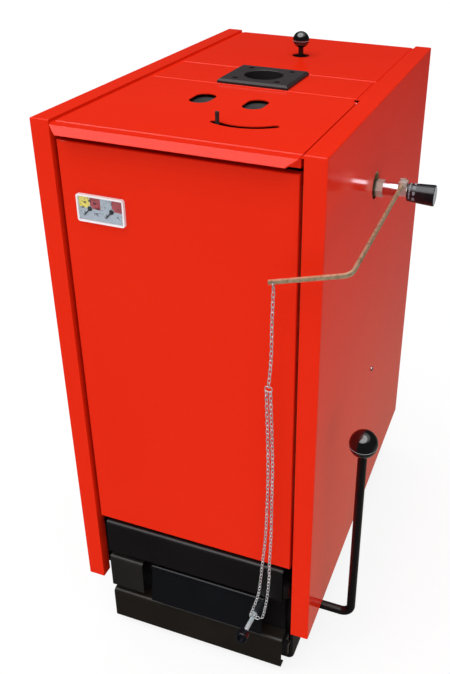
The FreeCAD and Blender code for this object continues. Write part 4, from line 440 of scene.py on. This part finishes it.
def addPiece(name, mesh, body, finish=None):
    piece = bpy.data.objects.new(name, mesh)
    bpy.context.scene.collection.objects.link(piece)
    if finish:
        mesh.materials.append(finishes[finish])
    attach(piece, body)
    return piece


def evaluated(thing):
    graph = bpy.context.evaluated_depsgraph_get()
    return bpy.data.meshes.new_from_object(thing.evaluated_get(graph))


def growPiece(name, tree, source, sizes, finish, body):
    holder = bpy.data.objects.new(name + ".seed", source)
    bpy.context.scene.collection.objects.link(holder)
    modifier = holder.modifiers.new("grow", "NODES")
    modifier.node_group = tree
    sizes = {**sizes, "Finish": finishes[finish]}
    for item in tree.interface.items_tree:
        if item.in_out == "INPUT" and item.name in sizes:
            modifier[item.identifier] = sizes[item.name]
    bpy.context.view_layer.update()
    grown = evaluated(holder)
    holder.modifiers.remove(modifier)
    bpy.data.objects.remove(holder)
    grown.name = name
    return addPiece(name, grown, body)


def seedMesh(name, points, edges=(), facing=None, roll=None):
    mesh = bpy.data.meshes.new(name)
    mesh.from_pydata([Vector(p) for p in points], list(edges), [])
    if facing:
        arrow = mesh.attributes.new("facing", "FLOAT_VECTOR", "POINT")
        arrow.data.foreach_set("vector", [c for f in facing for c in f])
    if roll:
        turn = mesh.attributes.new("roll", "FLOAT", "POINT")
        turn.data.foreach_set("value", list(roll))
    return mesh


def attribute(root, name, kind):
    return root.add("GeometryNodeInputNamedAttribute", {"data_type": kind}, {"Name": name})


def faceAlong(root, vector):
    return root.add("FunctionNodeAlignRotationToVector", {"axis": "Z"}, {"Vector": vector})


def rolled(turn, angle):
    spin = angle.add("FunctionNodeAxisAngleToRotation", None, {"Axis": (0, 0, 1), "Angle": angle})
    return spin.add("FunctionNodeRotateRotation", {"rotation_space": "LOCAL"},
                    {"Rotation": turn, "Rotate By": spin})


def scattered(root, given, shape):  # one copy at each seed point, turned by its attributes
    turn = rolled(faceAlong(root, attribute(root, "facing", "FLOAT_VECTOR")),
                  attribute(root, "roll", "FLOAT"))
    placed = root.add("GeometryNodeInstanceOnPoints", None,
                      {"Points": given.other("Geometry"), "Instance": shape, "Rotation": turn})
    return endTree(placed, given)


def wireLoop(root, wire, wide, tall, corner, sides, steps):
    # closed wire link standing in the XZ plane
    frameLine = root.add("GeometryNodeCurvePrimitiveQuadrilateral", None,
                         {"Width": wide - wire, "Height": tall - wire})
    bent = root.add("GeometryNodeFilletCurve", {"mode": "POLY"},
                    {"Curve": frameLine, "Count": steps, "Radius": corner, "Limit Radius": True})
    section = root.add("GeometryNodeCurvePrimitiveCircle", None,
                       {"Resolution": sides, "Radius": wire / 2})
    tube = root.add("GeometryNodeCurveToMesh", None, {"Curve": bent, "Profile Curve": section})
    smooth = root.add("GeometryNodeSetShadeSmooth", None, {"Geometry": tube})
    return root.add("GeometryNodeTransform", None,
                    {"Geometry": smooth, "Rotation": Euler((math.pi / 2, 0, 0))})


# chain from the regulator's arm to the bolt of the air flap; a run's points are a share of the way
# down and a sideways sway in millimetres
chainRun = {
    "hang": Vector((166.65, -398.24, 874.17)) * mm, "bolt": Vector((127.3, -384.76, 153.39)) * mm,
    "linkWire": 1.7 * mm, "linkWidth": 6.6 * mm, "linkSides": 5, "linkSteps": 3,
    "pitch": 8.2 * mm, "twist": math.radians(56), "smooth": 24,
    "drop": 9.0 * mm, "gap": 3.4 * mm, "hookWire": 1.7 * mm, "ringWidth": 13.0 * mm,
    "ringCorner": 2.2 * mm, "hookSides": 10, "hookSteps": 6, "sideRise": 4.0 * mm,
    "hookRoll": [math.radians(-84), 0, 0],
    "single": [(0.1, 1.6), (0.18, 3.6)], "join": (0.256, 2.3),
    "left": [(0.46, 9.6), (0.61, 13.5), (0.71, 14.1), (0.79, 12), (0.85, 10.7), (0.91, 7.8)],
    "right": [(0.46, 17.2), (0.6, 21.3), (0.7, 24.2), (0.78, 24.8), (0.84, 26.3), (0.91, 25.2),
              (0.96, 22), (0.99, 17.5)],
}


def chainSpot(share, sway):
    c = chainRun
    return c["hang"] + (c["bolt"] - c["hang"]) * share + Vector((sway * mm, 0, 0))


def linkTree():
    c = chainRun
    root, given = startTree("chainLinks", ("Wire", "Width", "Pitch", "Twist"))
    wire, width, pitch = given.other("Wire"), given.other("Width"), given.other("Pitch")
    line = root.add("GeometryNodeMeshToCurve", None, {"Mesh": given.other("Geometry")})
    line = root.add("GeometryNodeCurveSplineType", {"spline_type": "CATMULL_ROM"}, {"Curve": line})
    line = root.add("GeometryNodeSetSplineResolution", None,
                    {"Geometry": line, "Resolution": c["smooth"]})
    length = root.add("GeometryNodeSplineLength")
    links = root.maths("FLOOR", length / pitch / 2) * 2 + 1
    spots = root.add("GeometryNodeResampleCurve", {"mode": "COUNT"},
                     {"Curve": line, "Count": links * 2 + 1})
    order = root.add("GeometryNodeSplineParameter", out="Index")
    upward = root.add("ShaderNodeVectorMath", {"operation": "SCALE"},
                      {0: root.add("GeometryNodeInputTangent"), "Scale": -1.0})
    roll = given.other("Twist") + (order + 1) / 2 % 2 * (math.pi / 2)
    loop = wireLoop(root, wire, width, pitch + 2 * wire, (width - wire) / 2, c["linkSides"],
                    c["linkSteps"])
    placed = root.add("GeometryNodeInstanceOnPoints", None,
                      {"Points": spots, "Selection": order % 2, "Instance": loop,
                       "Rotation": rolled(faceAlong(root, upward), roll)})
    return endTree(placed, given)


def hookTree():
    c = chainRun
    root, given = startTree("chainHooks", ("Wire", "Width", "Height"))
    loop = wireLoop(root, given.other("Wire"), given.other("Width"), given.other("Height"),
                    c["ringCorner"], c["hookSides"], c["hookSteps"])
    return scattered(root, given, loop)


def makeChain():
    c = chainRun
    drop, gap = Vector((0, 0, c["drop"])), Vector((c["gap"], 0, 0))
    seat = Vector((0, 0, c["hookWire"] / 2))
    join = chainSpot(*c["join"])
    low, high = join - drop + seat, c["bolt"] + drop - seat
    sideLeg = c["bolt"] + Vector((c["ringWidth"] / 2 - c["hookWire"], 0, c["sideRise"]))
    runs = [[c["hang"] - drop + seat] + [chainSpot(*s) for s in c["single"]] + [join - seat],
            [low - gap] + [chainSpot(*s) for s in c["left"]] + [high - gap],
            [low + gap] + [chainSpot(*s) for s in c["right"]] + [sideLeg]]
    points, edges = [], []
    for run in runs:
        edges += [(len(points) + i, len(points) + i + 1) for i in range(len(run) - 1)]
        points += run
    chain = growPiece("chain_links", linkTree(), seedMesh("chain_links", points, edges),
                      {"Wire": c["linkWire"], "Width": c["linkWidth"], "Pitch": c["pitch"],
                       "Twist": c["twist"]},
                      "chainZinc", "chain")
    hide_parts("chain")
    middles = [c["hang"] - drop / 2, join - drop / 2, c["bolt"] + drop / 2]
    facing = [(0, 0, 1)] * len(middles)
    growPiece("chain_hooks", hookTree(),
              seedMesh("chain_hooks", middles, facing=facing, roll=c["hookRoll"]),
              {"Wire": c["hookWire"], "Width": c["ringWidth"],
               "Height": c["drop"] + c["hookWire"]},
              "chainZinc", "chain")


makeChain()
print("chain hung")

# thread on the flap's bolt
boltThread = {"root": Vector((127.3, -374.9, 151.73)) * mm, "along": Vector((0, -0.986, 0.1668)),
              "from": 41.0 * mm, "to": 50.8 * mm, "pitch": 1.25 * mm, "radius": 4.0 * mm,
              "ridge": 0.3 * mm, "around": 24, "ridgeSides": 4}


def threadTree():
    t = boltThread
    root, given = startTree("boltThread", ("Turns", "Length", "Radius", "Ridge"))
    radius = given.other("Radius")
    helix = root.add("GeometryNodeCurveSpiral", None,
                     {"Resolution": t["around"], "Rotations": given.other("Turns"),
                      "Start Radius": radius, "End Radius": radius,
                      "Height": given.other("Length")})
    ridge = root.add("GeometryNodeCurvePrimitiveCircle", None,
                     {"Resolution": t["ridgeSides"], "Radius": given.other("Ridge")})
    coil = root.add("GeometryNodeCurveToMesh", None,
                    {"Curve": helix, "Profile Curve": ridge, "Fill Caps": True})
    turn = faceAlong(root, attribute(root, "facing", "FLOAT_VECTOR"))
    placed = root.add("GeometryNodeInstanceOnPoints", None,
                      {"Points": given.other("Geometry"), "Instance": coil, "Rotation": turn})
    return endTree(placed, given)


def makeThread():
    t = boltThread
    start = t["root"] + t["along"] * t["from"]
    length = t["to"] - t["from"]
    growPiece("bolt_thread", threadTree(),
              seedMesh("bolt_thread", [start], facing=[t["along"]]),
              {"Turns": length / t["pitch"], "Length": length, "Radius": t["radius"],
               "Ridge": t["ridge"]},
              "brightZinc", "air_flap")


makeThread()

# screws: pan heads with a cross recess; their places are in millimetres
panScrew = {"radius": 5.0 * mm, "rise": 2.4 * mm, "recess": 1.3 * mm, "blade": 0.9 * mm,
            "reach": 5.4 * mm, "sides": 24, "shoulder": 0.97, "crown": 0.62, "rimShare": 0.45,
            "crownShare": 0.55, "crownLift": 0.43, "stand": 0.22, "firstRoll": 0.4,
            "rollStep": 0.7, "side": [(-230.0, 14.5, 475.7), (230.0, 14.5, 475.7)],
            "rearColumns": (-186.0, 186.0), "rearHeights": (165.0, 380.0, 595.0, 810.0, 1025.0),
            "rearFace": 367.5}


def screwTree():
    s = panScrew
    root, given = startTree("panScrews", ("Radius", "Rise", "Recess", "Blade", "Reach"))
    radius, rise = given.other("Radius"), given.other("Rise")

    def lifted(shape, height):
        shift = root.add("ShaderNodeCombineXYZ", None, {"Z": height})
        return root.add("GeometryNodeTransform", None, {"Geometry": shape, "Translation": shift})

    rim = root.add("GeometryNodeMeshCone", None,
                   {"Vertices": s["sides"], "Radius Top": radius * s["shoulder"],
                    "Radius Bottom": radius, "Depth": rise * s["rimShare"]})
    crown = root.add("GeometryNodeMeshCone", None,
                     {"Vertices": s["sides"], "Radius Top": radius * s["crown"],
                      "Radius Bottom": radius * s["shoulder"], "Depth": rise * s["crownShare"]})
    head = root.add("GeometryNodeMeshBoolean", {"operation": "UNION"},
                    {"Mesh 2": lifted(rim, 0.0)})
    raised = lifted(crown, rise * s["crownLift"])
    root.tree.links.new(raised.socket, head.socket.node.inputs["Mesh 2"])
    blades = []
    for long, short in (("X", "Y"), ("Y", "X")):
        span = root.add("ShaderNodeCombineXYZ", None,
                        {long: given.other("Reach"), short: given.other("Blade"),
                         "Z": given.other("Recess") * 2})
        blades.append(lifted(root.add("GeometryNodeMeshCube", None, {"Size": span}), rise))
    driven = root.add("GeometryNodeMeshBoolean", {"operation": "DIFFERENCE"}, {"Mesh 1": head})
    for blade in blades:
        root.tree.links.new(blade.socket, driven.socket.node.inputs["Mesh 2"])
    return scattered(root, given, driven)


def makeScrews():
    s = panScrew
    spots = [Vector(p) * mm for p in s["side"]]
    facing = [(-1, 0, 0), (1, 0, 0)]
    for column in s["rearColumns"]:
        for height in s["rearHeights"]:
            spots.append(Vector((column, s["rearFace"], height)) * mm)
            facing.append((0, 1, 0))
    roll = [s["firstRoll"] + s["rollStep"] * i for i in range(len(spots))]
    stood = [spot + Vector(f) * (s["rise"] * s["stand"]) for spot, f in zip(spots, facing)]
    heads = growPiece("screw_heads", screwTree(),
                      seedMesh("screw_heads", stood, facing=facing, roll=roll),
                      {"Radius": s["radius"], "Rise": s["rise"], "Recess": s["recess"],
                       "Blade": s["blade"], "Reach": s["reach"]},
                      "brightZinc", "boiler")
    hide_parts("casing_screws")


makeScrews()
print("thread and screws grown")

# gauge print: scale marks by geometry nodes, plain numbers and coloured blocks; a block's span is
# left, right, bottom and top from its hub in millimetres
gaugeLow, gaugeHigh = (Vector(corner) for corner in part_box("gauge_housing"))
gaugeMiddle = (gaugeLow + gaugeHigh) / 2
gaugePrint = {"face": gaugeLow.y + 2.75 * mm, "height": gaugeMiddle.z,
              "left": gaugeMiddle.x - 18.6 * mm, "right": gaugeMiddle.x + 18.6 * mm,
              "sweep": 260.0, "marks": 14, "markRadius": 16.6 * mm, "markLong": 2.2 * mm,
              "markWide": 0.8 * mm, "markThick": 0.1 * mm, "digit": 5.0 * mm,
              "digitBold": 0.2 * mm, "digitDepth": 0.05 * mm, "digitRadius": 12.4 * mm,
              "leftLabels": ("0", "20", "40", "60", "80", "100", "120"),
              "rightLabels": ("0", "1", "2", "3", "4"),
              "hubRadius": 4.6 * mm, "hubSwing": 42.0, "hubSteps": 6,
              "blockFront": 0.02 * mm, "blockBack": 0.06 * mm,
              "yellow": (-18.2, -0.8, 1.2, 18.2), "redLeft": (0.9, 18.2, -0.2, 18.2),
              "redRight": (0.8, 17.8, -0.4, 18.2)}


def markTree():
    root, given = startTree("scaleMarks", ("Long", "Wide", "Thick"))
    span = root.add("ShaderNodeCombineXYZ", None,
                    {"X": given.other("Wide"), "Y": given.other("Long"),
                     "Z": given.other("Thick")})
    return scattered(root, given, root.add("GeometryNodeMeshCube", None, {"Size": span}))


marks = markTree()


def textMesh(text, size, depth, bold=0.0):
    words = bpy.data.curves.new("figure", "FONT")
    words.body, words.size, words.extrude, words.offset = text, size, depth, bold
    words.align_x, words.align_y = "CENTER", "CENTER"
    words.resolution_u = 2
    writer = bpy.data.objects.new("figure", words)
    bpy.context.scene.collection.objects.link(writer)
    mesh = evaluated(writer)
    bpy.data.objects.remove(writer)
    return mesh


def joinMeshes(name, meshes):
    points, faces = [], []
    for mesh in meshes:
        faces += [[len(points) + i for i in face.vertices] for face in mesh.polygons]
        points += [v.co.copy() for v in mesh.vertices]
    whole = bpy.data.meshes.new(name)
    whole.from_pydata(points, [], faces)
    return whole


def dialAngle(step, steps):
    sweep = gaugePrint["sweep"]
    return math.radians(-sweep / 2 + sweep * step / (steps - 1))


def dialSpot(hub, radius, angle):
    g = gaugePrint
    return hub + math.sin(angle) * radius, g["face"], g["height"] + math.cos(angle) * radius


def makeGaugePrint():
    g = gaugePrint
    spots, facing, roll = [], [], []
    for hub in (g["left"], g["right"]):
        for i in range(g["marks"]):
            angle = dialAngle(i, g["marks"])
            spots.append(dialSpot(hub, g["markRadius"], angle))
            facing.append((0, -1, 0))
            roll.append(-angle)
    growPiece("dial_marks", marks, seedMesh("dial_marks", spots, facing=facing, roll=roll),
              {"Long": g["markLong"], "Wide": g["markWide"], "Thick": g["markThick"]},
              "dialInk", "boiler")
    stand = Matrix.Rotation(math.pi / 2, 4, "X")
    figures = []
    for hub, labels in ((g["left"], g["leftLabels"]), (g["right"], g["rightLabels"])):
        for i, label in enumerate(labels):
            spot = dialSpot(hub, g["digitRadius"], dialAngle(i, len(labels)))
            figure = textMesh(label, g["digit"], g["digitDepth"], g["digitBold"])
            figure.transform(Matrix.Translation(spot) @ stand)
            figures.append(figure)
    addPiece("dial_figures", joinMeshes("dial_figures", figures), "boiler",
             "dialInk")


def dialBlock(name, span, hub, finish):
    # coloured block of the dial with its corner hollowed round the hub
    g = gaugePrint
    x0, x1 = hub + span[0] * mm, hub + span[1] * mm
    z0, z1 = g["height"] + span[2] * mm, g["height"] + span[3] * mm
    corners = ((x0, z0), (x1, z0), (x1, z1), (x0, z1))
    near = min(corners, key=lambda c: math.hypot(c[0] - hub, c[1] - g["height"]))
    away = math.atan2((z0 + z1) / 2 - g["height"], (x0 + x1) / 2 - hub)
    arc = []
    for step in range(g["hubSteps"] + 1):
        swing = away + math.radians(g["hubSwing"]) * (2 * step / g["hubSteps"] - 1)
        arc.append((hub + g["hubRadius"] * math.cos(swing),
                    g["height"] + g["hubRadius"] * math.sin(swing)))
    outline = []
    for corner in corners:
        if corner != near:
            outline.append(corner)
            continue
        before = outline[-1] if outline else (x0, z1)
        outline += arc if math.dist(arc[0], before) < math.dist(arc[-1], before) else arc[::-1]
    count = len(outline)
    front, back = g["face"] + g["blockFront"], g["face"] + g["blockBack"]
    points = [(x, front, z) for x, z in outline] + [(x, back, z) for x, z in outline]
    faces = [list(range(count)), list(range(2 * count - 1, count - 1, -1))]
    faces += [[i, i + count, (i + 1) % count + count, (i + 1) % count] for i in range(count)]
    mesh = bpy.data.meshes.new(name)
    mesh.from_pydata(points, [], faces)
    addPiece(name, mesh, "boiler", finish)


makeGaugePrint()
dialBlock("dial_yellow", gaugePrint["yellow"], gaugePrint["left"], "dialYellow")
dialBlock("dial_red_left", gaugePrint["redLeft"], gaugePrint["left"], "dialRed")
dialBlock("dial_red_right", gaugePrint["redRight"], gaugePrint["right"], "dialRed")
print("gauge printed")

# regulator knob: figures and ticks on the narrow end, grip ribs on the wide one, pale end cap; the
# cap's profile is radius and rise in millimetres
knobScale = {"scale": 16.45 * mm, "figureAt": 12.4 * mm, "figure": 6.4 * mm,
             "figureDepth": 0.12 * mm, "figureLift": 0.05 * mm,
             "labels": ("30", "40", "50", "60", "70", "80", "90"), "step": 36.0, "first": -110.0,
             "ticks": 25, "tickAt": 4.6 * mm, "tickScale": 15.85 * mm, "tickLong": 2.4 * mm,
             "tickWide": 0.8 * mm, "tickThick": 0.3 * mm,
             "ribs": 26, "ribFrom": 18.0 * mm, "ribTo": 44.6 * mm,
             "ribRadius": (16.6 * mm, 17.95 * mm), "ribWide": 1.5 * mm, "ribRise": 0.25 * mm,
             "cap": ((0.0, 0.75), (9.0, 0.7), (15.2, 0.45), (16.3, 0.2), (16.7, -0.1)),
             "capSides": 48}
knobLow, knobHigh = (Vector(corner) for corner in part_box("regulator_knob"))
knobAxis = Vector((0, (knobLow.y + knobHigh.y) / 2, (knobLow.z + knobHigh.z) / 2))


def knobSpot(distance, angle, radius):
    out = Vector((0, math.sin(angle), math.cos(angle)))
    return Vector((knobLow.x + distance, 0, 0)) + knobAxis + out * radius, out


def makeKnobScale():
    k = knobScale
    up = Vector((-1, 0, 0))
    figures = []
    for i, label in enumerate(k["labels"]):
        angle = math.radians(k["first"] + k["step"] * i)
        spot, out = knobSpot(k["figureAt"], angle, k["scale"] + k["figureLift"])
        turn = Matrix((up.cross(out), up, out)).transposed().to_4x4()
        figure = textMesh(label, k["figure"], k["figureDepth"])
        for vertex in figure.vertices:  # bent round the knob
            swing = vertex.co.x / k["scale"]
            reach = k["scale"] + vertex.co.z
            vertex.co.x = math.sin(swing) * reach
            vertex.co.z = math.cos(swing) * reach - k["scale"]
        figure.transform(Matrix.Translation(spot) @ turn)
        figures.append(figure)
    addPiece("knob_figures", joinMeshes("knob_figures", figures), "regulator_knob",
             "markInk")
    sweep = k["step"] * (len(k["labels"]) - 1)
    spots, facing = [], []
    for i in range(k["ticks"]):
        angle = math.radians(k["first"] + sweep * i / (k["ticks"] - 1))
        spot, out = knobSpot(k["tickAt"], angle, k["tickScale"])
        spots.append(spot)
        facing.append(out)
    roll = [math.pi / 2] * len(spots)
    growPiece("knob_ticks", marks, seedMesh("knob_ticks", spots, facing=facing, roll=roll),
              {"Long": k["tickLong"], "Wide": k["tickWide"], "Thick": k["tickThick"]},
              "markInk", "regulator_knob")


def makeKnobRibs():
    k = knobScale
    length = k["ribTo"] - k["ribFrom"]
    small, large = k["ribRadius"]
    lean = math.atan2(large - small, length)
    spots, facing, roll = [], [], []
    for i in range(k["ribs"]):
        angle = 2 * math.pi * (i + 0.5) / k["ribs"]
        spot, out = knobSpot((k["ribFrom"] + k["ribTo"]) / 2, angle, (small + large) / 2)
        normal = out * math.cos(lean) - Vector((math.sin(lean), 0, 0))
        run = out * math.sin(lean) + Vector((math.cos(lean), 0, 0))
        side = Vector((0, 0, 1)).rotation_difference(normal) @ Vector((0, 1, 0))
        spots.append(spot)
        facing.append(normal)
        roll.append(math.atan2(normal.dot(side.cross(run)), side.dot(run)))
    growPiece("knob_ribs", marks, seedMesh("knob_ribs", spots, facing=facing, roll=roll),
              {"Long": length, "Wide": k["ribWide"], "Thick": 2 * k["ribRise"]},
              "knobPlastic", "regulator_knob")


def makeKnobCap():
    # shallow dome on the end of the knob, closed behind
    k = knobScale
    sides = k["capSides"]
    points = [(knobHigh.x + k["cap"][0][1] * mm, knobAxis.y, knobAxis.z)]
    for radius, rise in k["cap"][1:]:
        for i in range(sides):
            swing = 2 * math.pi * i / sides
            points.append((knobHigh.x + rise * mm, knobAxis.y + radius * mm * math.cos(swing),
                           knobAxis.z + radius * mm * math.sin(swing)))
    faces = [(0, 1 + i, 1 + (i + 1) % sides) for i in range(sides)]
    for ring in range(len(k["cap"]) - 2):
        base = 1 + ring * sides
        for i in range(sides):
            onward = (i + 1) % sides
            faces.append((base + i, base + sides + i, base + sides + onward, base + onward))
    last = 1 + (len(k["cap"]) - 2) * sides
    faces.append([last + i for i in reversed(range(sides))])
    mesh = bpy.data.meshes.new("knob_cap")
    mesh.from_pydata(points, [], faces)
    mesh.polygons.foreach_set("use_smooth", [len(face) < sides for face in faces])
    addPiece("knob_cap", mesh, "regulator_knob", "capPlastic")


makeKnobScale()
makeKnobRibs()
makeKnobCap()
print("knob marked")

# thin pale ring round each ball knob; its height is a share of the ball's radius
ballRings = {"wire": 0.3 * mm, "around": 64, "sides": 6,
             "balls": [("lever_ball", "grate_lever", -0.08), ("rod_ball", "pull_rod", -0.1)]}


def makeBallRing(ball, body, height):
    r = ballRings
    around, sides, wire = r["around"], r["sides"], r["wire"]
    low, high = (Vector(corner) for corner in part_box(ball))
    radius = (high.x - low.x) / 2
    middle = (low + high) / 2
    middle.z = high.z - radius + height * radius
    reach = radius * math.sqrt(1 - height ** 2)
    points, faces = [], []
    for i in range(around):
        swing = 2 * math.pi * i / around
        onward = (i + 1) % around
        for j in range(sides):
            turn = 2 * math.pi * j / sides
            out = reach + wire * math.cos(turn)
            points.append(middle + Vector((out * math.cos(swing), out * math.sin(swing),
                                           wire * math.sin(turn))))
            above = (j + 1) % sides
            faces.append((i * sides + j, onward * sides + j, onward * sides + above,
                          i * sides + above))
    mesh = bpy.data.meshes.new(ball + "_ring")
    mesh.from_pydata(points, [], faces)
    mesh.polygons.foreach_set("use_smooth", [True] * len(faces))
    addPiece(ball + "_ring", mesh, body, "capPlastic")


for ball, body, height in ballRings["balls"]:
    makeBallRing(ball, body, height)
print("ball knobs ringed")

# stage: floor, light and the photograph's view; gloss mirrors a room with a white ceiling, a dark
# wall and a ground that is lit only behind
stageSet = {"floorSize": 30.0, "floorDeep": "f1f1f1", "floorBright": "f4f4f4", "cloudScale": 3.0,
            "floorRough": 0.9, "floorShine": 0.1, "lift": 0.85, "world": 0.5, "wall": 0.03,
            "ground": 0.27, "groundTint": "fff0d8", "groundBand": (0.1, 0.75),
            "behindBand": (-0.3, 0.4), "ceilingBand": (0.62, 0.85), "white": "ffffff",
            "sun": 2.7, "sunAngle": 70.0, "sunFrom": (-0.12, -0.25, 0.96)}


def rayKinds(root):
    return root.add("ShaderNodeLightPath", out="Is Camera Ray")


def lookedAt(rays):  # 1 for what the camera sees, also through glass
    return rays.maths("MAXIMUM", rays, rays.other("Is Transmission Ray"))


def makeFloor():
    s = stageSet
    size = s["floorSize"]
    mesh = bpy.data.meshes.new("floor")
    mesh.from_pydata([(-size, -size, 0), (size, -size, 0), (size, size, 0), (-size, size, 0)], [],
                     [(0, 1, 2, 3)])
    floor = bpy.data.objects.new("floor", mesh)
    bpy.context.scene.collection.objects.link(floor)
    root, place = startFinish("floorPaper", {"Roughness": s["floorRough"],
                                             "Specular IOR Level": s["floorShine"]})
    feed(root, {"Base Color": root.mix(grain(place, s["cloudScale"]), paint(s["floorDeep"]),
                                       paint(s["floorBright"]))})
    seen = lookedAt(rayKinds(root))
    glow = root.add("ShaderNodeEmission", None, {"Color": paint(s["white"]), "Strength": 1.0})
    shaded = Signal(root.tree, root.tree.nodes["Principled BSDF"].outputs[0])
    both = root.add("ShaderNodeMixShader", None, {0: seen * s["lift"], 1: shaded, 2: glow})
    root.tree.links.new(both.socket, root.tree.nodes["Material Output"].inputs["Surface"])
    mesh.materials.append(finishes["floorPaper"])
    floor.visible_glossy = False


def makeLight():
    s = stageSet
    world = bpy.data.worlds.new("studio")
    bpy.context.scene.world = world
    world.use_nodes = True
    root = Signal(world.node_tree)
    rays = rayKinds(root)
    seen, mirrored = lookedAt(rays), rays.other("Is Glossy Ray")
    soft, wall = s["world"], s["wall"]
    level = along(root.add("ShaderNodeTexCoord", out="Generated"), "Z")
    lit = band(0.0 - level, *s["groundBand"]) * band(level.other("Y"), *s["behindBand"])
    room = wall + s["ground"] * lit + (1.0 - wall) * band(level, *s["ceilingBand"])
    strength = soft + seen * (1.0 - soft) + mirrored * (room - soft)
    tint = root.mix(mirrored * lit, paint(s["white"]), paint(s["groundTint"]))
    root.tree.links.new(tint.socket, root.tree.nodes["Background"].inputs["Color"])
    root.tree.links.new(strength.socket, root.tree.nodes["Background"].inputs["Strength"])
    lamp = bpy.data.lights.new("keySun", "SUN")
    lamp.energy, lamp.angle = s["sun"], math.radians(s["sunAngle"])
    sun = bpy.data.objects.new("keySun", lamp)
    sun.rotation_euler = Vector(s["sunFrom"]).to_track_quat("Z", "Y").to_euler()
    bpy.context.scene.collection.objects.link(sun)


photoView = {"place": Vector((0.50719, -1.32371, 1.40942)),
             "forward": Vector((-0.2757, 0.8438, -0.4605)),
             "right": Vector((0.9462, 0.3226, 0.0246)),
             "lens": 42.63, "sensor": 36.0, "shift": (-0.111, -0.103)}


def makeCamera():
    v = photoView
    forward = v["forward"].normalized()
    up = v["right"].cross(forward).normalized()
    turn = Matrix((forward.cross(up), up, -forward)).transposed().to_4x4()
    data = bpy.data.cameras.new("photoView")
    data.lens, data.sensor_width, data.sensor_fit = v["lens"], v["sensor"], "AUTO"
    data.shift_x, data.shift_y = v["shift"]
    camera = bpy.data.objects.new("photoView", data)
    camera.matrix_world = Matrix.Translation(v["place"]) @ turn
    bpy.context.scene.collection.objects.link(camera)
    bpy.context.scene.camera = camera


makeFloor()
makeLight()
makeCamera()
bpy.context.scene.view_settings.view_transform = "Standard"
print("stage set")
